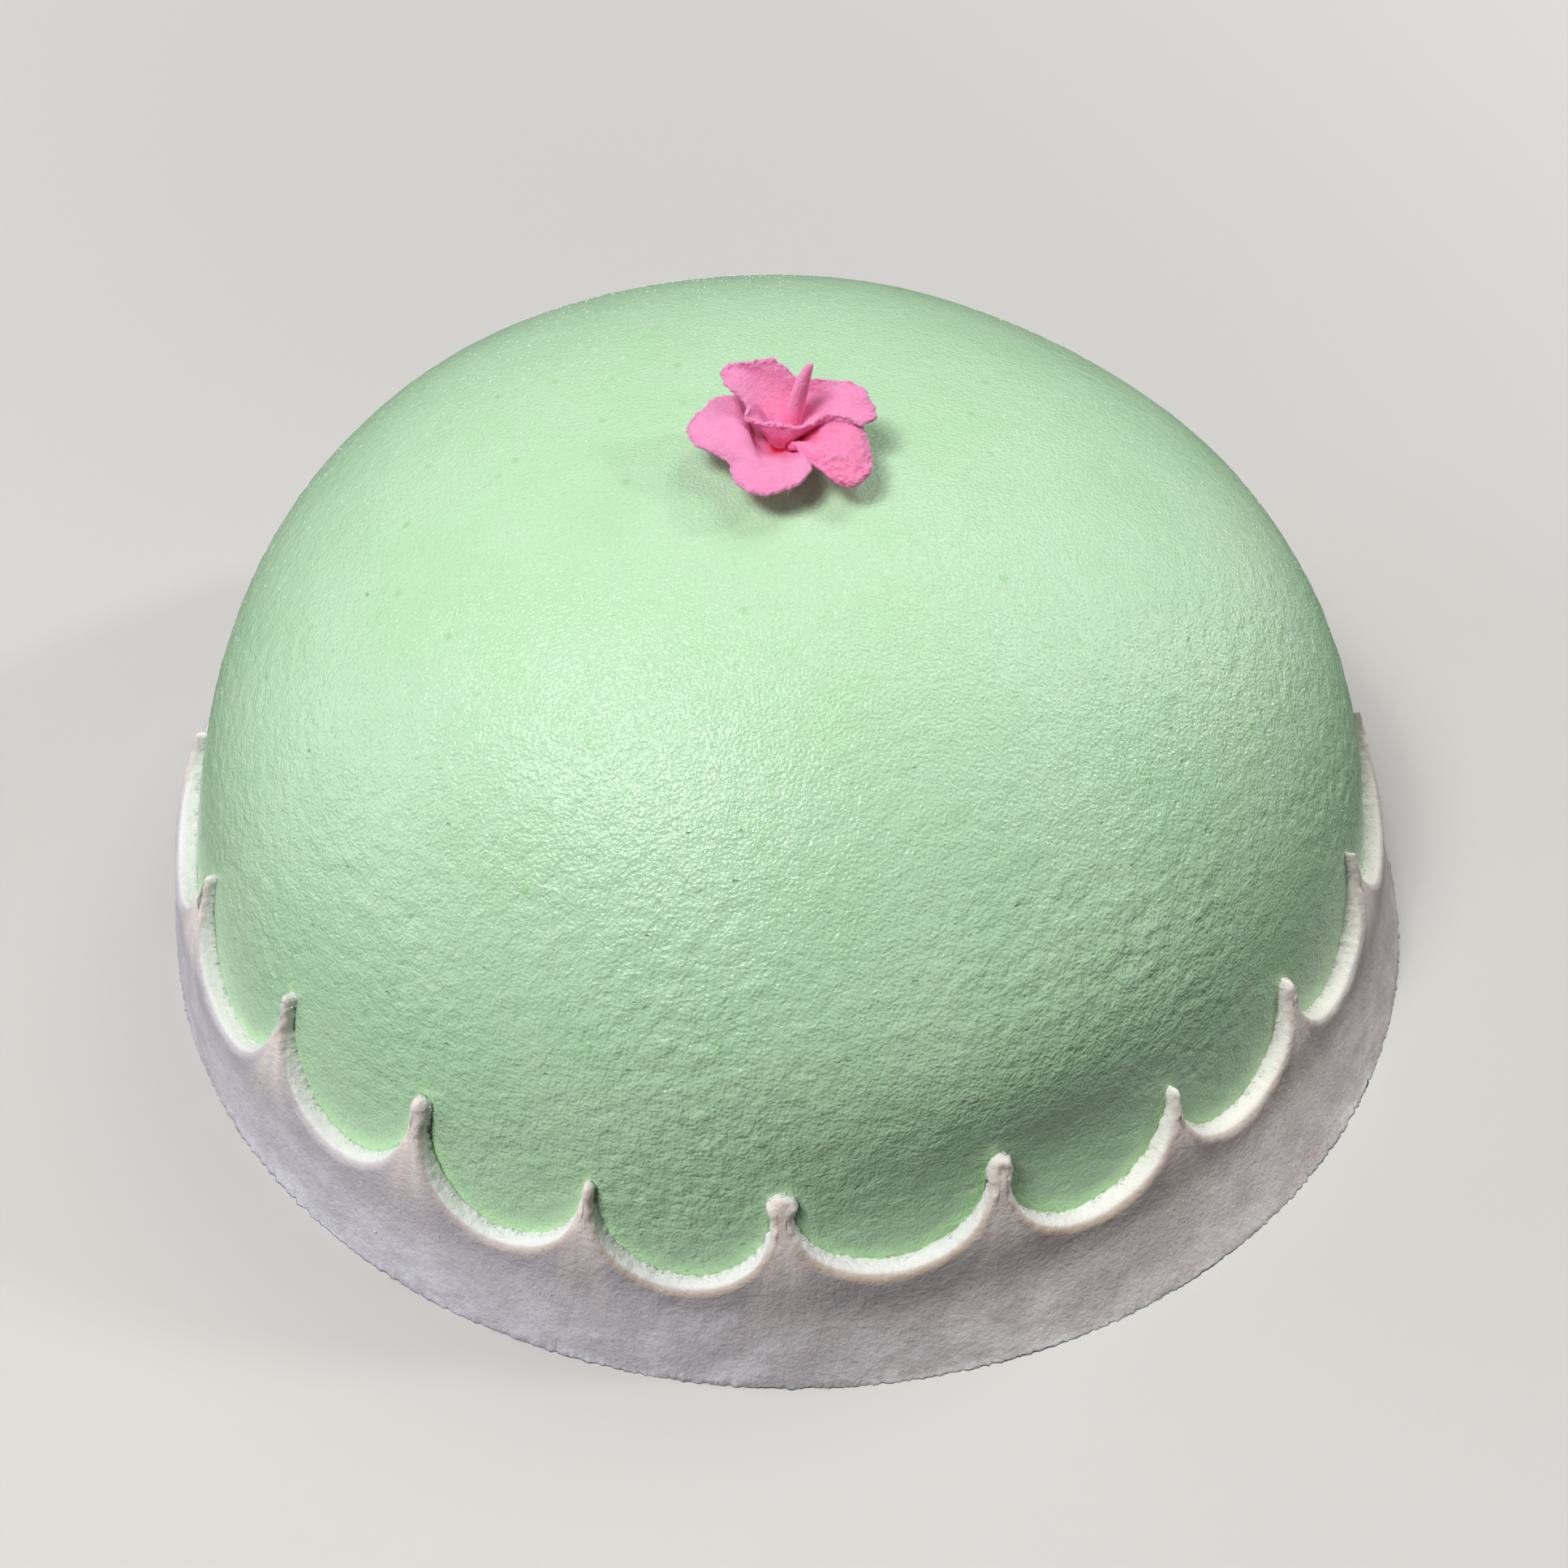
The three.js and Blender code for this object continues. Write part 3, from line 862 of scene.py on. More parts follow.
@dataclass
class Strip:
    """The scalloped strip of white marzipan round the cake's foot.

    A section of it runs through zones: it starts at foot_zone at the outer foot and comes to
    0 at a line set back from the cut edge, then crosses the rolled edge up to 1 and the cut
    up to 2, and the inside is inner_zone.
    """

    form: DomeForm
    foot_radius: float
    spikes_in_front: tuple[Spike, ...] = FRONT_SPIKES
    scallops: int = 21
    columns: int = 140
    thickness: float = 3.05 * MM
    unevenness: float = 0.1
    spike_thickness: float = 1.5 * MM
    spike_roll: float = 1.6 * MM
    spike_tuck: float = 1.1 * MM
    hollow: float = 0.35 * MM
    hollow_height: float = 10.5 * MM
    smear_angle: float = math.radians(-73)
    smear_height: float = 4 * MM
    smear_strength: float = 1.6
    lift_height: float = 9 * MM
    flare_height: float = 17 * MM
    flare_curve: float = 2.1
    roll_on_floor: float = 1.7 * MM
    roll_on_side: float = 0.9 * MM
    roll_share: float = 0.92
    back_height: float = 32 * MM
    back_floor: float = 16.5 * MM
    rows_outside: int = 16
    rows_roll: int = 6
    rows_cut: int = 7
    rows_inside: int = 2
    foot_zone: float = -12
    inner_zone: float = 3
    crumbs: Noise = Noise(11, 0.8 * MM, 2, 0.2 * MM)
    lumps: Noise = Noise(12, 2.0 * MM, 2, 0.24 * MM)
    waves: Noise = Noise(13, 17 * MM, 1, 0.3 * MM)
    ripples: Noise = Noise(14, 2.6 * MM, 3, 0.09 * MM)
    ragged: Noise = Noise(15, 1.2 * MM, 3, 0.27 * MM)
    tears: Noise = Noise(16, 0.8 * MM, 2, 0.36 * MM)
    chips: Noise = Noise(17, 3.5 * MM, 1, 0.2 * MM)

    @property
    def girth(self) -> float:
        """The radius at which places along the strip are measured."""
        return self.form.foot_radius

    def spikes(self) -> list[Spike]:
        """Every spike: the front ones, then the back ones, evenly spread and made uneven by
        sines of their number.

        Returns:
            The spikes, anticlockwise from the leftmost in front.
        """
        front = list(self.spikes_in_front)
        first, last = front[0].angle, front[-1].angle
        count = self.scallops - len(front)
        step = (360 + first - last) / (count + 1)
        for number in range(1, count + 1):
            wobble = math.sin(2.4 * number)
            front.append(Spike(
                angle=last + step * number + wobble,
                tip=self.back_height + wobble * MM,
                floor=self.back_floor - wobble * MM,
                half_width=(1.45 + 0.3 * math.sin(3.7 * number)) * MM,
                taper=0.35 + 0.25 * math.sin(2.9 * number),
                knob=0.1 + 0.1 * math.sin(5.1 * number),
                neck=0.08,
                lean=0.5 * math.sin(1.9 * number) * MM,
                rough=0.8 + 0.4 * math.sin(4.3 * number),
            ))
        return front

    @staticmethod
    def finger(
        spike: Spike | Outline, height: Array, floor: Array, width: Array,
    ) -> tuple[Array, Array]:
        """The form of a spike at heights between the scallop's floor and its tip.

        The scallop's quarter ellipse, width * (1 - sqrt(1 - (1 - level)^2)), and a tapering
        finger, half width * (1 - taper * level), are joined as the cube root of the sum of
        their cubes.

        Args:
            spike: a spike, or the outline's columns.
            height: the heights.
            floor: the scallop's floor.
            width: half the scallop's width.

        Returns:
            Distances from the spike's middle line to the cut edge, and how far the heights
            are up the spike's round end, from 0 to 1 at its tip.
        """
        level = (height - floor) / (spike.tip - floor)
        scallop = width * (1 - np.sqrt(np.clip(1 - (1 - level) ** 2, 0, 1)))
        finger = spike.half_width * (1 - spike.taper * level)
        end = 1.15 * spike.half_width * (1 - 0.7 * spike.taper)
        return np.cbrt(scallop**3 + finger**3), np.clip((height - spike.tip + end) / end, 0, 1)

    def outline(self) -> Outline:
        """The whole cut edge: for each scallop the right side of one spike and the left side
        of the next, their ends rounded off as sqrt(1 - cap^2), resampled evenly.

        Returns:
            The columns of the outline.
        """
        level = np.sin(np.linspace(0, math.pi / 2, 800))
        spikes = self.spikes()
        parts = []
        for left, right in zip(spikes, spikes[1:] + spikes[:1]):
            start = math.radians(left.angle - 90) * self.girth
            gap = math.radians((right.angle - left.angle) % 360) * self.girth
            fall = blend(left.floor, left.tip, level[::-1])
            climb = blend(left.floor, right.tip, level)
            down, up = (
                half * np.sqrt(1 - cap**2) for half, cap in (
                    self.finger(left, fall, left.floor, gap / 2),
                    self.finger(right, climb, left.floor, gap / 2),
                )
            )
            along = np.concatenate([start + down, start + gap - up[1:]])
            height = np.concatenate([fall, climb[1:]])
            run = lengths(np.stack([along, height], axis=-1))
            even = np.linspace(0, run[-1], self.columns, endpoint=False)
            along, height = np.interp(even, run, along), np.interp(even, run, height)
            first = along < start + gap / 2
            foot = np.linspace(start, start + gap, self.columns, endpoint=False)
            parts.append(np.stack(np.broadcast_arrays(
                along, height, foot, np.where(first, start, start + gap), left.floor, gap / 2,
                *(np.where(first, getattr(left, title), getattr(right, title))
                  for title in ("tip", "half_width", "taper", "knob", "neck", "lean", "rough")),
            )))
        return Outline(*np.concatenate(parts, axis=1))

    def edge_height(self, angle: Array) -> Array:
        """How high the cut edge stands at angles from +X."""
        edge = self.outline()
        return np.interp(angle, edge.along / self.girth, edge.height, period=2 * math.pi)

    def outer(self, height: Array, angle: Array) -> Array:
        """The strip's depth outside the dome: its rolled thickness, a little more at the
        cake's sides and less up the spikes, a shallow hollow under the rolled edge, and a
        flare towards its round foot of (1 - height / flare height)^flare curve.

        Args:
            height: heights on the strip's face.
            angle: their angles from +X, in radians.

        Returns:
            One depth for each place.
        """
        rolled = self.thickness * (1 + self.unevenness * np.cos(2 * angle))
        x, y = self.form.centre
        along = x * np.cos(angle) + y * np.sin(angle)
        foot = -along + np.sqrt(along**2 + self.foot_radius**2 - x**2 - y**2)
        spread = foot - self.form.radius(np.zeros_like(angle), angle) - CLEARANCE - rolled
        low = np.clip(1 - height / self.flare_height, 0, 1) ** self.flare_curve
        high = smoothstep(height, self.back_floor, self.back_height)
        hollow = self.hollow * bell(height, self.hollow_height, self.hollow_height / 3)
        return CLEARANCE + blend(rolled, self.spike_thickness, high) + spread * low - hollow

    def shaped(self, along: Array, height: Array, edge: Outline) -> Array:
        """Places along the strip once the spikes' heads have swollen, been pinched and leant.

        Args:
            along: places along the strip, rows by columns.
            height: heights of the same points.
            edge: the outline's columns.

        Returns:
            The changed places along the strip.
        """
        level = edge.level(height)
        width = 1 + edge.knob * bell(level, 0.9, 0.13) - edge.neck * bell(level, 0.66, 0.1)
        lean = edge.lean * (np.clip(level - 0.4, 0, 1) / 0.6) ** 2
        return edge.centre + (along - edge.centre) * width + lean

    def sections(self, edge: Outline, out: Array, spiky: Array) -> Array:
        """A closed section at every column: up the outside to a line set back from the cut
        edge, over the rolled edge as a quarter ellipse, across the cut, down the inside and
        back under the foot.

        Args:
            edge: the outline's columns.
            out: the direction out of the cut edge, along and up, for each column.
            spiky: 1 on the spikes, 0 between them.

        Returns:
            Places along the strip, heights, shares of the depth and zones, each a grid.
        """
        half, cap = self.finger(edge, edge.height, edge.floor, edge.width)
        wide = blend(self.roll_on_side, self.roll_on_floor, np.clip(out[1], 0, 1) ** 2)
        on_head = smoothstep(edge.level(edge.height), 0.55, 0.9)
        wide = blend(wide, self.spike_roll, on_head)
        roll = self.roll_share * wide * half / (wide**4 + half**4) ** 0.25
        rim = np.stack([edge.along, edge.height])
        back = blend(out, np.stack([(edge.along - edge.centre) / half, cap]), spiky) * roll
        foot = np.stack([edge.foot, 0 * edge.foot])
        deep = self.outer(edge.height, edge.along / self.girth) - CLEARANCE
        tuck = np.minimum(blend(roll, self.spike_tuck, spiky), 0.6 * deep) / deep

        rows = []
        # Two rows lie close together at the foot, and the others close up towards the edge.
        for share in np.append([0, 0.006], np.linspace(0.04, 1, self.rows_outside, endpoint=False)):
            up = 1 - (1 - share) ** 1.3
            rows.append((*blend(foot, rim - back, up), 1, (1 - share) * self.foot_zone))
        for share in np.linspace(0, 1, self.rows_roll, endpoint=False):
            over, under = math.sin(share * math.pi / 2), 1 - math.cos(share * math.pi / 2)
            rows.append((*(rim - back * (1 - over)), 1 - under * tuck, share))
        for share in np.linspace(0, 1, self.rows_cut):
            rows.append((*rim, (1 - tuck) * (1 - share), 1 + share))
        for share in np.linspace(0, 1, self.rows_inside + 1)[1:]:
            rows.append((*blend(rim, foot, share), 0, self.inner_zone))
        rows.append((*foot, 0.5, self.foot_zone))
        return np.stack([np.broadcast_arrays(*row) for row in rows], axis=1)

    def build(self) -> Piece:
        """The sections laid round the dome, with shaped spikes, relief and a cut edge that is
        torn outwards and inwards, most at its inner side.

        Returns:
            The strip's object.
        """
        edge = self.outline()
        period = 2 * math.pi * self.girth
        step = np.roll(edge.along, -1) - np.roll(edge.along, 1)
        step = (step + period / 2) % period - period / 2
        climb = np.roll(edge.height, -1) - np.roll(edge.height, 1)
        out = np.stack([-climb, step]) / np.hypot(step, climb)
        level = edge.level(edge.height)
        spiky = smoothstep(level, 0.3, 0.65)
        along, height, share, zone = self.sections(edge, out, spiky)
        place = self.form.wall(edge.height, edge.along / self.girth)
        tear = self.tears.at(place) + self.chips.at(place)
        tear = tear * smoothstep(zone, 1.0, 2.0) * (1 - smoothstep(zone, 2.2, 2.9))
        along, height = along + out[0] * tear, height + out[1] * tear
        angle = self.shaped(along, height, edge) / self.girth
        depth = blend(-0.1 * MM, self.outer(height, angle), share)
        points = self.form.wall(height, angle, depth)
        points[..., 2] += self.form.wall_lean * depth * smoothstep(height, 0, self.lift_height)
        plan = MeshPlan()
        plan.grid(self.roughened(points, zone, spiky, edge.rough), Weave.RING)
        near_smear = smoothstep(np.cos(angle - self.smear_angle), 0.984, 0.999)
        smear = self.smear_strength * bell(height, self.smear_height, self.smear_height)
        # Masks: the cut, the painted shade where the edge rolls over, the paler foot and the
        # spikes' heads.
        return plan.build("scalloped_marzipan", {
            "cut": smoothstep(zone, blend(0.42, 0.75, spiky), blend(0.72, 1.05, spiky)),
            "warm": bell(zone, 0.3, 0.4) * (1 - 0.8 * spiky),
            "pale": 1 - smoothstep(height, 1 * MM, 12 * MM) + smear * near_smear,
            "head": smoothstep(level, 0.15, 0.7) * smoothstep(zone, -10, -2),
        })

    def roughened(self, points: Array, zone: Array, spiky: Array, rough: Array) -> Array:
        """The strip's relief along its normals: crumbs on the cut, lumps on the spikes' heads,
        slow waves and ripples on the face, and a ragged foot.

        Args:
            points: the smooth grid.
            zone: the zones of the grid.
            spiky: 1 on the spikes, 0 between them.
            rough: how lumpy each spike is.

        Returns:
            The grid with its relief.
        """
        cut = smoothstep(zone, 0.1, 0.9)
        near = smoothstep(zone, -3.5, 0.3)
        relief = self.crumbs.at(points) * np.maximum(cut * (1 - 0.4 * spiky), spiky * near * 0.6)
        relief += self.lumps.at(points) * spiky**2 * rough * near
        relief += (self.waves.at(points) + self.ripples.at(points)) * (1 - cut)
        moved = points + grid_normals(points, Weave.RING) * relief[..., None]
        foot = bell(points[..., 2], 0, 0.7 * MM) * (zone < -5)
        moved[..., :2] += unit(points[..., :2]) * (self.ragged.at(points) * foot)[..., None]
        moved[..., 2] = np.where(points[..., 2] <= 1e-6, 0, np.maximum(moved[..., 2], 0))
        return moved


# ---------------- the flower


@dataclass(frozen=True)
class Sheet:
    """A sheet of marzipan that rises from the flower's throat over a shoulder to a free rim.

    Its shoulder and rim are given by knots in the same number, in millimetres from the
    flower's heart, and its root is a ring round the throat. A closed sheet goes all the way
    round. The bend is where the shoulder stands between root (0) and rim (1). The wall says
    how far out and how high the sheet is a little before the shoulder, as shares of the way
    from root to shoulder: a low wall makes a sharp shoulder. The painted folds say how far
    out the painted crimson shade of the throat reaches on each side, and the least painted
    fold is how much of it is everywhere. The foot is how far the underside comes down at the
    throat, to stand on the dome.
    """

    name: str
    nodes: tuple[str, ...]
    throat: Triple
    throat_radius: float
    shoulder: tuple[Triple, ...]
    rim: tuple[Triple, ...]
    closed: bool = False
    bend: float = 0.4
    wall: tuple[float, float] = (0.8, 0.55)
    columns: int = 220
    rows: int = 60
    ragged: float = 0.4
    texture: float = 0.07
    rim_thickness: float = 0.65
    # How far out the painted crease shade reaches on the upper and lower sides, and its least
    # share.
    upper_fold: float = 0.5
    lower_fold: float = 0.5
    least_painted_fold: float = 0.0
    foot: float = 0.0


SHEETS = (
    Sheet(
        "funnel", ("petal_lip", "petal_back"), (0.9, 1.7, 1.5), 0.7,
        ((-2.2, 2.0, 5.0), (-3.0, 3.6, 6.2), (-4.0, 5.2, 7.6), (-3.3, 6.5, 8.1), (-1.8, 6.9, 7.8),
         (0.2, 6.6, 6.8), (2.2, 6.2, 5.4), (4.4, 5.8, 5.4), (6.6, 5.0, 6.0), (7.4, 4.0, 5.8),
         (7.4, 2.6, 5.4), (6.6, 1.4, 5.0), (5.4, 0.7, 4.8), (4.2, 0.2, 4.6), (2.6, -0.6, 4.2),
         (0.9, -0.8, 4.0), (-0.8, -0.2, 4.2), (-1.9, 0.8, 4.6)),
        ((-4.2, 0.9, 8.1), (-6.4, 2.4, 9.6), (-7.8, 4.7, 10.2), (-7.9, 7.1, 10.8),
         (-4.6, 8.4, 11.2), (-0.6, 8.9, 11.2), (3.0, 7.7, 9.0), (7.3, 8.1, 8.6), (12.4, 6.5, 8.2),
         (13.2, 4.6, 7.8), (14.7, 3.1, 6.8), (12.5, -0.1, 6.2), (9.9, 0.6, 7.3), (8.1, 0.4, 7.4),
         (4.3, -1.5, 7.0), (1.0, -1.8, 6.7), (-2.4, -1.2, 6.9), (-4.7, -0.3, 7.3)),
        closed=True, bend=0.45, wall=(0.72, 0.72), columns=340, upper_fold=0.02, lower_fold=0.27,
        foot=1.8,
    ),
    Sheet(
        "apron", ("petal_left", "petal_front"), (0.5, 0.9, 1.0), 0.25,
        ((-3.6, 5.4, 3.8), (-4.9, 4.6, 4.7), (-4.7, 2.6, 5.1), (-4.4, 0.7, 5.1), (-4.2, -1.2, 5.0),
         (-3.9, -3.1, 4.7), (-3.4, -5.1, 4.3), (-2.5, -6.7, 3.9), (-1.1, -7.1, 3.6),
         (0.5, -6.8, 3.4), (2.2, -6.3, 3.4), (3.5, -5.6, 3.5), (3.4, -4.2, 3.0),
         (3.4, -2.6, 2.2), (3.6, -0.6, 1.8)),
        ((-4.6, 8.0, 4.6), (-7.0, 8.5, 5.3), (-9.6, 6.4, 5.5), (-12.0, 2.4, 5.2),
         (-12.8, -0.4, 4.8), (-11.6, -3.2, 4.2), (-8.9, -4.9, 3.8), (-6.8, -6.5, 3.4),
         (-5.8, -10.0, 3.2), (-2.1, -13.7, 2.9), (1.6, -12.9, 3.1), (5.2, -8.4, 4.2),
         (4.4, -5.9, 4.0), (5.2, -4.2, 2.8), (5.8, -1.6, 2.2)),
        bend=0.4, wall=(0.86, 0.62), columns=280, upper_fold=0.05, lower_fold=0.17,
    ),
    Sheet(
        "pad", ("petal_side",), (1.0, 0.4, 2.0), 0.6,
        ((3.0, -2.8, 3.7), (4.4, -3.6, 4.3), (5.7, -4.4, 4.7), (7.2, -5.2, 4.8), (8.6, -5.4, 4.8),
         (9.6, -4.6, 5.0), (10.0, -3.0, 5.2), (9.6, -1.2, 5.5), (8.8, 0.4, 5.8),
         (7.4, 1.6, 5.9), (5.6, 2.4, 5.6)),
        ((4.0, -4.9, 3.2), (5.4, -6.6, 3.2), (6.7, -8.1, 3.0), (8.6, -9.9, 2.6),
         (10.6, -10.7, 2.4), (12.6, -9.5, 2.5), (13.8, -7.0, 2.9), (13.4, -2.8, 3.5),
         (12.6, 1.3, 4.1), (10.8, 2.8, 4.8), (7.6, 3.6, 5.4)),
        bend=0.55, wall=(0.7, 0.86), ragged=0.15, texture=0.24, rim_thickness=1.3,
        upper_fold=0.22, lower_fold=0.4, least_painted_fold=0.22,
    ),
)


@dataclass
class Flower:
    """The pink marzipan flower: a funnel, an apron and a pad of marzipan round a pistil."""

    heart: Vector
    sheets: tuple[Sheet, ...] = SHEETS
    thickness: float = 1.1 * MM
    foot_reach: float = 0.34
    tears: Noise = Noise(40, 1.5 * MM, 3)
    waves: Noise = Noise(50, 4.5 * MM, 2, 0.3 * MM)
    grain: Noise = Noise(60, 0.9 * MM, 3)
    crumbs: Noise = Noise(70, 0.6 * MM, 3, 0.45 * MM)
    pistil_grain: Noise = Noise(80, 1.4 * MM, 2, 0.09 * MM, (1, 1, 2.5))
    pistil_radius: float = 1.45 * MM
    pistil_length: float = 11.2 * MM
    pistil_foot: Triple = (2.05 * MM, 3.4 * MM, 2.9 * MM)
    pistil_lean: Triple = (0.17, 0.02, 1.0)
    pistil_rings: int = 90
    pistil_segments: int = 72
    # Painted shade at the pistil's foot, where it stands in the funnel.
    pistil_fold: float = 0.25

    def middle(self, sheet: Sheet) -> tuple[Array, Array]:
        """The sheet's middle surface, on a grid of rows from root to rim.

        Args:
            sheet: the sheet.

        Returns:
            The grid of points and the shares from root (0) to rim (1) of its rows.
        """
        rim, shoulder, throat = (
            np.array(knots) * MM for knots in (sheet.rim, sheet.shoulder, sheet.throat)
        )
        root = throat + unit((shoulder - throat) * (1, 1, 0)) * sheet.throat_radius * MM
        out, up = sheet.wall
        wall = root + (shoulder - root) * (out, out, up)
        net = np.stack([root, wall, shoulder, rim], axis=1)
        if sheet.closed:
            net = np.concatenate([net[-3:], net, net[:4]])
        times = lengths(net[:, -1])
        first, last = (times[3], times[-4]) if sheet.closed else (times[0], times[-1])
        across = np.linspace(first, last, sheet.columns, endpoint=not sheet.closed)
        outward = 1 - (1 - np.linspace(0, 1, sheet.rows)) ** 1.5
        net = smooth_curve(net, times, across).swapaxes(0, 1)
        stages = np.array([0, 0.72 * sheet.bend, sheet.bend, 1])
        return smooth_curve(net, stages, outward), outward[:, None]

    def sheet(self, sheet: Sheet, number: int) -> Piece:
        """One sheet, as a closed piece with a rounded, ragged rim.

        Its two sides stand off the middle surface by half the thickness, which falls to
        nothing at a free border as sqrt(1 - (1 - d)^2), d being the distance to the border in
        half thicknesses. Round the throat the lower side sinks to a foot.

        Args:
            sheet: the sheet's shape.
            number: its place in the flower, which seeds its relief.

        Returns:
            The sheet's object.
        """
        weave = Weave.TUBE if sheet.closed else Weave.PATCH
        middle, outward = self.middle(sheet)
        tear = self.tears.at(middle[-1], number) * sheet.ragged * MM * outward**6
        middle = middle + unit(middle[-1] - middle[-6]) * tear[..., None]
        normals = grid_normals(middle, weave)
        wave = self.waves.at(middle, number) * outward
        middle = middle + normals * wave[..., None]

        reach = lengths(middle)
        half = blend(self.thickness, sheet.rim_thickness * MM, outward) / 2
        border = self.rounding((reach[-1] - reach) / half)
        if not sheet.closed:
            girth = lengths(middle, 1)
            side = np.minimum(girth, girth[:, -1:] - girth)
            border = border * self.rounding(side / half) * self.rounding(reach / half)
        grain = self.grain.at(middle, number) * sheet.texture * MM
        crumbs = self.crumbs.at(middle, number) * outward**14
        offset = normals * (half * border)[..., None]
        middle = middle + normals * ((grain + crumbs) * border)[..., None] + self.heart
        lower = middle - offset
        lower[..., 2] -= sheet.foot * MM * (1 - smoothstep(outward, 0, self.foot_reach)) ** 1.5

        plan = MeshPlan()
        top = plan.grid(middle + offset, weave)
        bottom = top.copy()
        inner = np.s_[:-1, :] if sheet.closed else np.s_[1:-1, 1:-1]
        bottom[inner] = plan.add(lower[inner])
        plan.faces.append(grid_quads(bottom, weave)[:, ::-1])
        if sheet.closed:
            plan.faces.append(grid_quads(np.stack([bottom[0], top[0]]), weave))
        edge = smoothstep(reach - reach[-1], -0.8 * MM, -0.1 * MM)
        # Painted crease shade: full at the throat, fading outwards to its least share.
        above, below = (
            blend(sheet.least_painted_fold, 1, 1 - smoothstep(outward, 0.3 * far, far)) + 0 * edge
            for far in (sheet.upper_fold, sheet.lower_fold)
        )
        return plan.build(f"{sheet.name}_marzipan", {
            "rim": np.append(edge, edge[inner]),
            "fold": np.append(above, below[inner]),
        })

    @staticmethod
    def rounding(distance: Array) -> Array:
        """sqrt(1 - (1 - d)^2) up to a distance of 1, and 1 beyond it."""
        return np.sqrt(1 - (1 - np.clip(distance, 0, 1)) ** 2)

    def pistil(self) -> Piece:
        """The pistil: rings whose radius falls as (1 - 0.3 t) * sqrt(1 - t^5) up to a blunt
        tip, placed so that the right side is a straight line and the left one curves to it.

        Returns:
            The pistil's object.
        """
        share = np.sin(np.linspace(0, math.pi / 2, self.pistil_rings))[:, None]
        turn = turns(self.pistil_segments)[:, None]
        radius = self.pistil_radius * (1 - 0.3 * share) * np.sqrt(1 - share**5)
        axis = Vector(self.pistil_lean).normalized()
        side = Vector((0, 1, 0)).cross(axis).normalized()
        rings = np.cos(turn) * np.array(side) + np.sin(turn) * np.array(axis.cross(side))
        line = np.array(self.pistil_foot) + share * self.pistil_length * np.array(axis)
        line += 0.9 * (self.pistil_radius - radius) * np.array(side)
        points = line[:, None] + radius[..., None] * rings
        grain = self.pistil_grain.at(points) * (1 - share**8)
        points = points + rings * grain[..., None] + self.heart
        plan = MeshPlan()
        plan.rings(points[:-1], points[0].mean(axis=0), points[-1].mean(axis=0))
        # Painted shade fading up from the pistil's foot.
        fold = self.pistil_fold * (1 - smoothstep(share[:-1], 0.1, 0.4)) + 0 * grain[:-1]
        return plan.build("pistil_marzipan", {
            "rim": np.zeros(plan.count),
            "fold": np.append(fold, [self.pistil_fold, 0.0]),
        })


# ---------------- sugar and crumbs


class Grain(Enum):
    """The forms of small loose things: rings of points, poles included, and how many points
    a ring has."""

    CRYSTAL = (3, 4)
    CRUMB = (5, 6)


@dataclass
class Scatter:
    """Small things joined in one mesh: lumps of rings between two poles, whose radius wobbles
    by direction, each turned, squashed and sized at random."""

    name: str
    grain: Grain
    seed: int
    smallest: float
    largest: float
    wobble: float
    squash: tuple[float, float] = (0.65, 1.25)

    def build(self, places: Array) -> Piece:
        """Puts one lump at each place.

        Args:
            places: centres of the lumps, number by 3.

        Returns:
            The joined object.
        """
        random = np.random.default_rng(self.seed)
        rings, around = self.grain.value
        tilt = np.linspace(0, math.pi, rings)[1:-1, None]
        turn = turns(around)
        ball = np.stack(np.broadcast_arrays(
            np.sin(tilt) * np.cos(turn), np.sin(tilt) * np.sin(turn), -np.cos(tilt),
        ), axis=-1)
        lump = MeshPlan()
        lump.rings(ball, np.array([0, 0, -1]), np.array([0, 0, 1]))
        ball = np.concatenate(lump.points)
        count = len(places)
        size = blend(self.smallest, self.largest, random.uniform(0, 1, (count, 1, 1)) ** 2)
        squash = random.uniform(*self.squash, (count, 1, 3))
        uneven = 1 + self.wobble * random.uniform(-1, 1, (count, len(ball), 1))
        spin = self.spins(random, count)
        lumps = np.einsum("nij,nkj->nki", spin, ball * uneven * squash) * size

        starts = (np.arange(count) * len(ball))[:, None, None]
        plan = MeshPlan()
        plan.add(lumps + places[:, None, :])
        for faces in lump.faces:
            plan.faces.append((faces + starts).reshape(-1, faces.shape[1]))
        ones = np.ones(plan.count)
        # Loose grains carry no painted roll shade and no painted glow.
        values = {title: 0 * ones for title in ("warm", "pale", "head", "glow")}
        return plan.build(self.name, {**values, "cut": ones, "coarse": ones})

    @staticmethod
    def spins(random: np.random.Generator, count: int) -> Array:
        """Random turns as matrices, from unit quaternions of a number w and a vector v: the
        identity times 2w^2 - 1, plus 2vv', plus 2w times the matrix of the product with v.

        Args:
            random: where the random numbers come from.
            count: how many turns.

        Returns:
            The matrices, number by 3 by 3.
        """
        turn = unit(random.normal(size=(count, 4)) + 1e-9)[:, :, None]
        w, axis = turn[:, :1], turn[:, 1:]
        across = np.cross(np.eye(3), axis.swapaxes(1, 2))
        return (2 * w * w - 1) * np.eye(3) + 2 * axis * axis.swapaxes(1, 2) + 2 * w * across


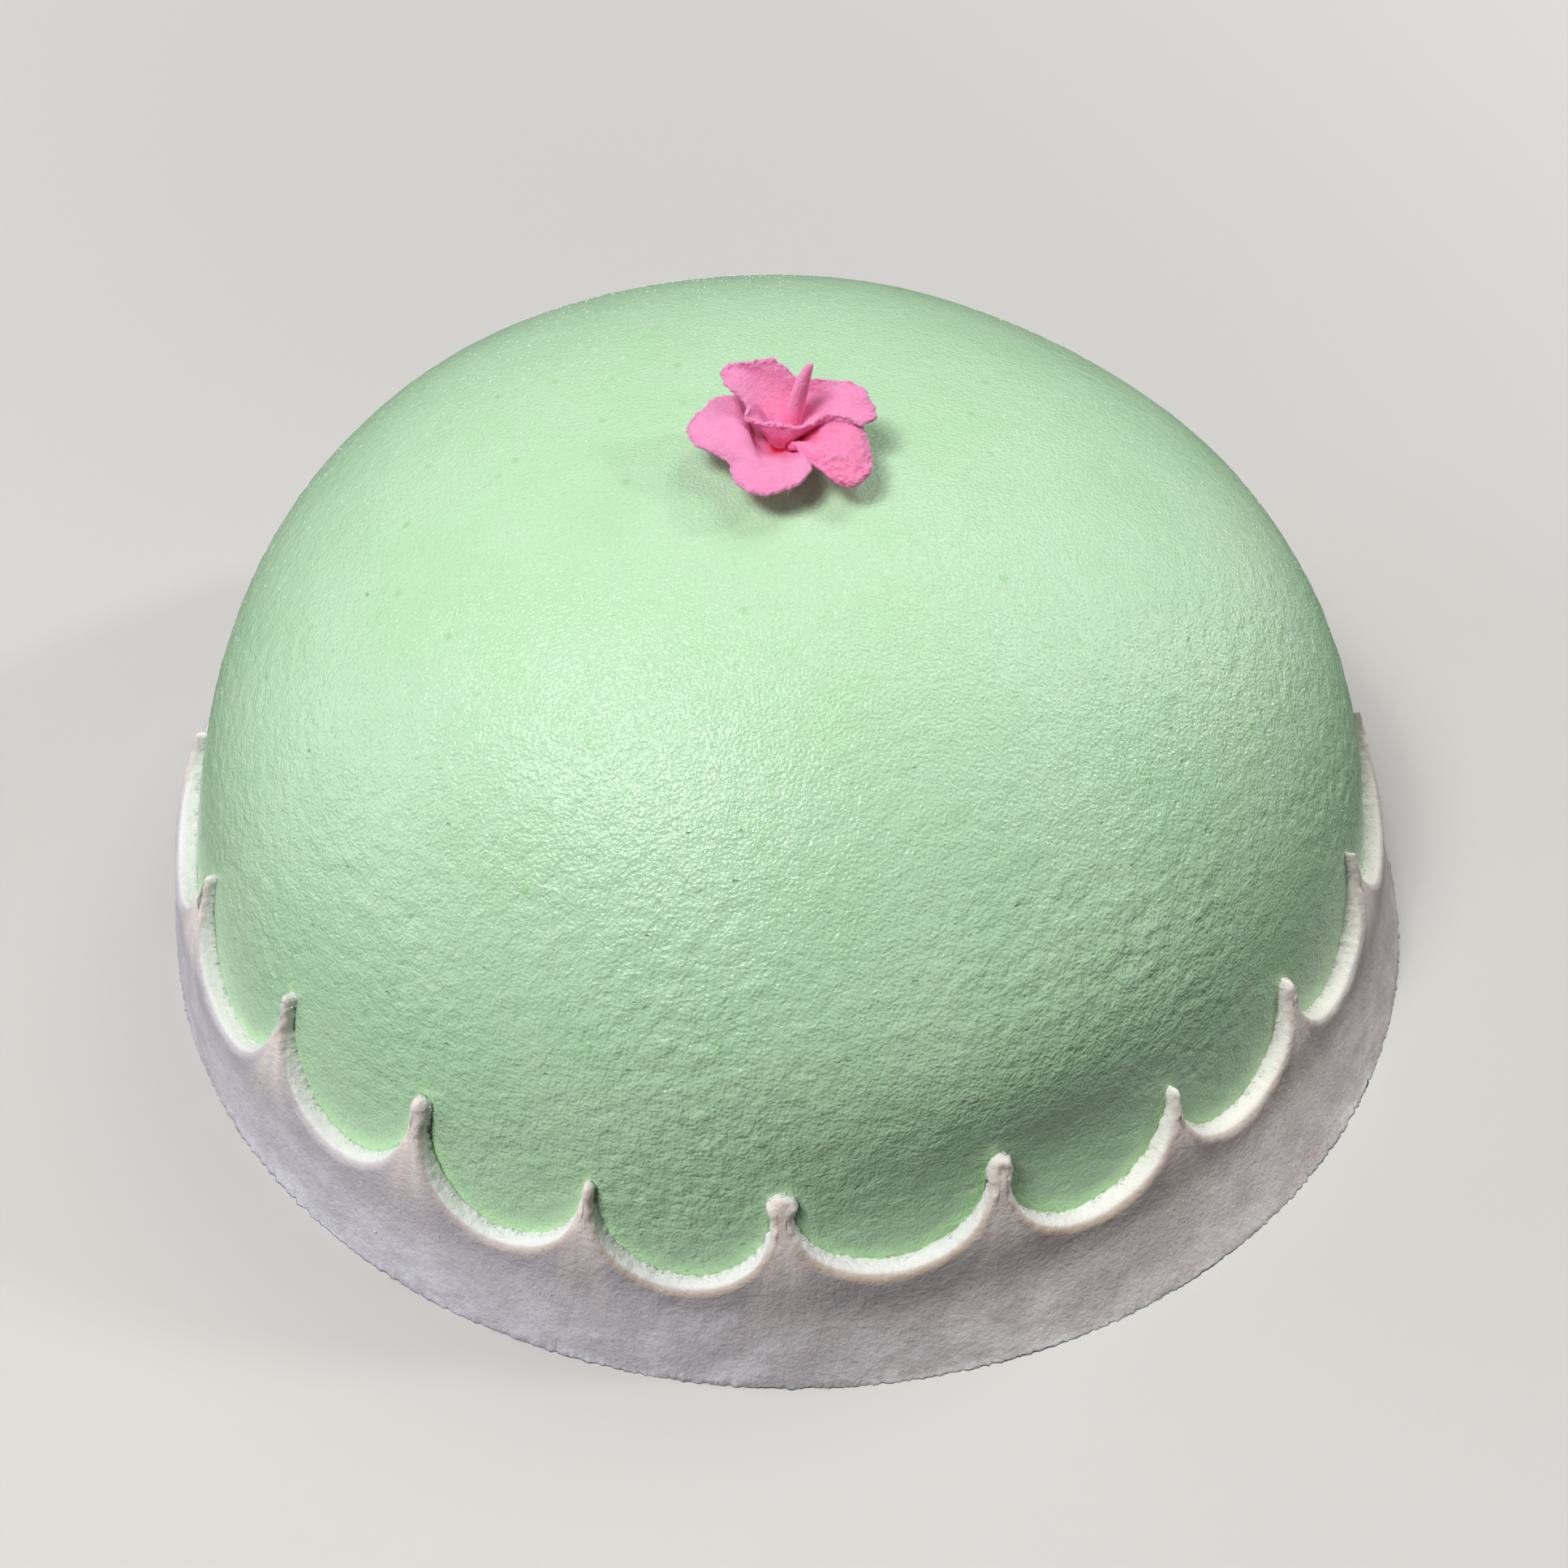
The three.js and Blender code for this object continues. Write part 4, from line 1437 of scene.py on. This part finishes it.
@dataclass
class Dusting:
    """Sugar on the dome, and crumbs on the strip and along its cut edge."""

    form: DomeForm
    strip: Strip
    sugar_count: int = 14000
    sugar_line: tuple[float, float] = (35 * MM, 80 * MM)
    # The denser patch sits in the key light's highlight: partly sugar, partly painted sparkle.
    patch_count: int = 5000
    patch_angle: float = -19
    patch_width: float = 16
    patch_height: float = 78 * MM
    patch_rise: float = 9 * MM
    patch_foot: float = 40 * MM
    face_crumbs: int = 26
    face_line: tuple[float, float] = (3 * MM, 12 * MM)
    edge_crumbs: int = 1800
    edge_line: tuple[float, float] = (-0.2 * MM, 0.12 * MM)
    edge_depth: tuple[float, float] = (0.1 * MM, 0.8 * MM)
    sugar_seed: int = 21
    crumb_seed: int = 31

    def sugar(self) -> Piece:
        """Sugar grains strewn over the upper dome, and a denser patch on its left front that is
        partly sugar and partly painted sparkle where the key light's highlight falls.

        Returns:
            The grains' object.
        """
        random = np.random.default_rng(self.sugar_seed)
        heights = self.form.ring_heights(2000)
        odds = self.form.radius(heights, 0.0) * smoothstep(heights, *self.sugar_line)
        even = self.sugar_count - self.patch_count
        height = random.choice(heights, even, p=odds / odds.sum())
        angle = random.uniform(0, 2 * math.pi, even)
        # The patch: partly sugar, partly painted sparkle in the key light's highlight.
        rows = random.normal(self.patch_height, self.patch_rise, self.patch_count)
        height = np.append(height, np.clip(rows, self.patch_foot, heights[-1]))
        spread = random.normal(self.patch_angle - 90, self.patch_width, self.patch_count)
        places = self.form.wall(height, np.append(angle, np.radians(spread)))
        return Scatter(
            "sugar_grains", Grain.CRYSTAL, seed=22,
            smallest=0.04 * MM, largest=0.13 * MM, wobble=0.2,
        ).build(places)

    def crumbs(self) -> Piece:
        """Marzipan crumbs: a few on the strip's face, more sunk in the inner side of the cut.

        Returns:
            The crumbs' object.
        """
        random = np.random.default_rng(self.crumb_seed)
        angle = random.uniform(0, 2 * math.pi, self.face_crumbs)
        height = random.uniform(*self.face_line, self.face_crumbs)
        edge = self.strip.outline()
        pick = random.integers(0, len(edge.along), self.edge_crumbs)
        edge = Outline(*(column[pick] for column in vars(edge).values()))
        on_edge = edge.height + random.uniform(*self.edge_line, self.edge_crumbs)
        along = self.strip.shaped(edge.along, on_edge, edge)
        depth = random.uniform(*self.edge_depth, self.edge_crumbs)
        depth = np.append(self.strip.outer(height, angle), depth)
        height = np.append(height, on_edge)
        places = self.form.wall(height, np.append(angle, along / self.strip.girth), depth)
        places[:, 2] += self.form.wall_lean * depth
        return Scatter(
            "marzipan_crumbs", Grain.CRUMB, seed=32,
            smallest=0.1 * MM, largest=0.26 * MM, wobble=0.4,
        ).build(places)


# ---------------- studio


@dataclass(frozen=True)
class SoftLight:
    """A round soft light: where it is, its width, its power in watts and its colour."""

    name: str
    place: Triple
    width: float
    power: float
    colour: Triple = (1, 1, 1)


@dataclass
class Studio:
    """A pale floor, soft lights and the camera."""

    camera_place: Triple = (0.0, -232.7 * MM, 236.2 * MM)
    camera_aim: Triple = (-1.16 * MM, 0.0, 11.66 * MM)
    camera_roll: float = math.radians(0.87)
    lens: float = 39.13
    sensor: float = 36.0
    floor_size: float = 12.0
    floor_colour: Triple = linear(206, 204, 200)
    floor_shade: Triple = linear(196, 194, 190)
    floor_glow: float = 0.95
    room_seen: float = 0.95
    room_light: float = 0.02
    light_height: float = 1.0
    light_aim: Triple = (0, 0, 60 * MM)
    lights: tuple[SoftLight, ...] = (
        SoftLight("key", (-0.41, -0.36, 0.94), 0.45, 7.5),
        SoftLight("glint", (-0.47, -0.36, 0.91), 0.1, 1.1),
        SoftLight("front", (-0.65, -0.82, 0.6), 0.5, 0.75),
        SoftLight("back", (0.36, 0.36, 0.97), 0.5, 3.1),
        SoftLight("right", (0.85, 0.12, 0.68), 0.12, 2.6),
        SoftLight("left", (-1.93, 0.0, 0.49), 1.1, 9.8, (0.93, 0.92, 1.0)),
        SoftLight("far", (1.66, 0.95, 0.49), 0.9, 4.4),
    )

    def build(self) -> None:
        """Makes the floor, lights, world and camera."""
        self.floor()
        for light in self.lights:
            self.light(light)
        self.world()
        self.camera()
        view = bpy.context.scene.view_settings
        view.view_transform = "Standard"
        view.look = "None"

    def floor(self) -> None:
        """A large plain floor, which takes light and shadow but throws none back. Far from the
        cake, where the lights fall off as (1 + (distance / light height)^2)^-2, it glows by
        what they lack, so that it is even up to the horizon."""
        plan = MeshPlan()
        side = np.array([-0.5, 0.5]) * self.floor_size
        plan.grid(np.stack([*np.meshgrid(side, side), np.zeros((2, 2))], axis=-1), Weave.PATCH)
        floor = plan.build("floor")
        dress = Dressing("floor_paper")
        shade = dress.mixed(dress.noise(0.3) * 0.1, self.floor_colour, self.floor_shade)
        away = dress.node("ShaderNodeVectorMath", {0: dress.place}, "Value", operation="LENGTH")
        lit = ((away / self.light_height) ** 2 + 1) ** -2
        dress.wire({
            "Base Color": shade,
            "Roughness": 0.9,
            "Emission Color": dress.mixed(lit, self.floor_colour, (0, 0, 0)),
            "Emission Strength": self.floor_glow,
        })
        floor.data.materials.append(dress.material)
        floor.visible_diffuse = False
        floor.visible_glossy = False

    def light(self, light: SoftLight) -> None:
        """One round area light that points at the cake's middle.

        Args:
            light: the light's values.
        """
        data = bpy.data.lights.new(light.name, "AREA")
        data.shape = "DISK"
        data.size = light.width
        data.energy = light.power
        data.color = light.colour
        lamp = placed(light.name, data)
        lamp.location = light.place
        aim = Vector(self.light_aim) - Vector(light.place)
        lamp.rotation_euler = aim.to_track_quat("-Z", "Y").to_euler()

    def world(self) -> None:
        """An even pale room: bright to the camera, dim as a light."""
        world = bpy.data.worlds.new("room")
        world.use_nodes = True
        tree = world.node_tree
        background = tree.nodes["Background"]
        background.inputs["Color"].default_value = (*self.floor_colour, 1)
        seen = Shade(tree, tree.nodes.new("ShaderNodeLightPath").outputs["Is Camera Ray"])
        strength = seen * self.room_seen + self.room_light
        feed(tree, background.inputs["Strength"], strength)
        bpy.context.scene.world = world

    def camera(self) -> None:
        """The camera in front of the cake, looking down at it."""
        data = bpy.data.cameras.new("camera")
        data.sensor_fit = "HORIZONTAL"
        data.sensor_width = self.sensor
        data.lens = self.lens
        place, aim = Vector(self.camera_place), Vector(self.camera_aim)
        turn = (aim - place).to_track_quat("-Z", "Y").to_matrix()
        turn = turn @ Matrix.Rotation(self.camera_roll, 3, "Z")
        camera = bpy.context.scene.camera = placed("camera", data)
        camera.matrix_world = Matrix.Translation(place) @ turn.to_4x4()


# ---------------- the cake


@dataclass
class Cake:
    """The whole cake, placed by the frame's solids. The flower's heart is given in mm from the
    low corner of the box round its petals."""

    heart_in_petals: Triple = (12.82, 13.21, 0.1)
    finishes: dict[str, bpy.types.Material] = field(default_factory=dict)

    def finish(self, piece: Piece, slot: str, *nodes: str, look: str = "") -> None:
        """Dresses a piece, lets it ride on the cake and hides the solids that it stands for.

        Args:
            piece: the new piece.
            slot: the name of its finish, unless look names another.
            nodes: names of the solids that it replaces.
            look: another finish to wear than the slot's.
        """
        piece.data.materials.append(self.finishes[look or slot])
        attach(piece, "root")
        if nodes:
            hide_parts(*nodes)
        LOG.info("%s: %d faces", piece.name, len(piece.data.polygons))

    def build(self) -> None:
        """Makes the dome, the strip, the flower and the loose crumbs, in that order."""
        self.finishes = {
            "green_marzipan": GreenMarzipan().material(),
            "white_marzipan": WhiteMarzipan().material(),
            "pink_marzipan": PinkMarzipan().material(),
            "sugar": SugarGlaze().material(),
        }
        form = DomeForm(*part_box("dome"))
        low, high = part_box("scalloped_strip")
        strip = Strip(form, (high.x - low.x) / 2)
        self.finish(Dome(form, strip).build(), "green_marzipan", "dome")
        self.finish(strip.build(), "white_marzipan", "scalloped_strip")
        flower = Flower(self.heart())
        self.finish(flower.pistil(), "pink_marzipan", "pistil")
        for number, sheet in enumerate(flower.sheets):
            self.finish(flower.sheet(sheet, number), "pink_marzipan", *sheet.nodes)
        dusting = Dusting(form, strip)
        self.finish(dusting.sugar(), "green_marzipan", look="sugar")
        self.finish(dusting.crumbs(), "white_marzipan")

    def heart(self) -> Vector:
        """The flower's heart: where it stands within the box round its petals."""
        lows = [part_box(node)[0] for sheet in SHEETS for node in sheet.nodes]
        return Vector(map(min, zip(*lows))) + Vector(self.heart_in_petals) * MM


def main() -> None:
    """Builds the cake and the studio."""
    logging.basicConfig(level=logging.INFO, format="%(name)s %(message)s")
    Cake().build()
    Studio().build()
    LOG.info("boxes written")


if __name__ == "__main__":
    main()
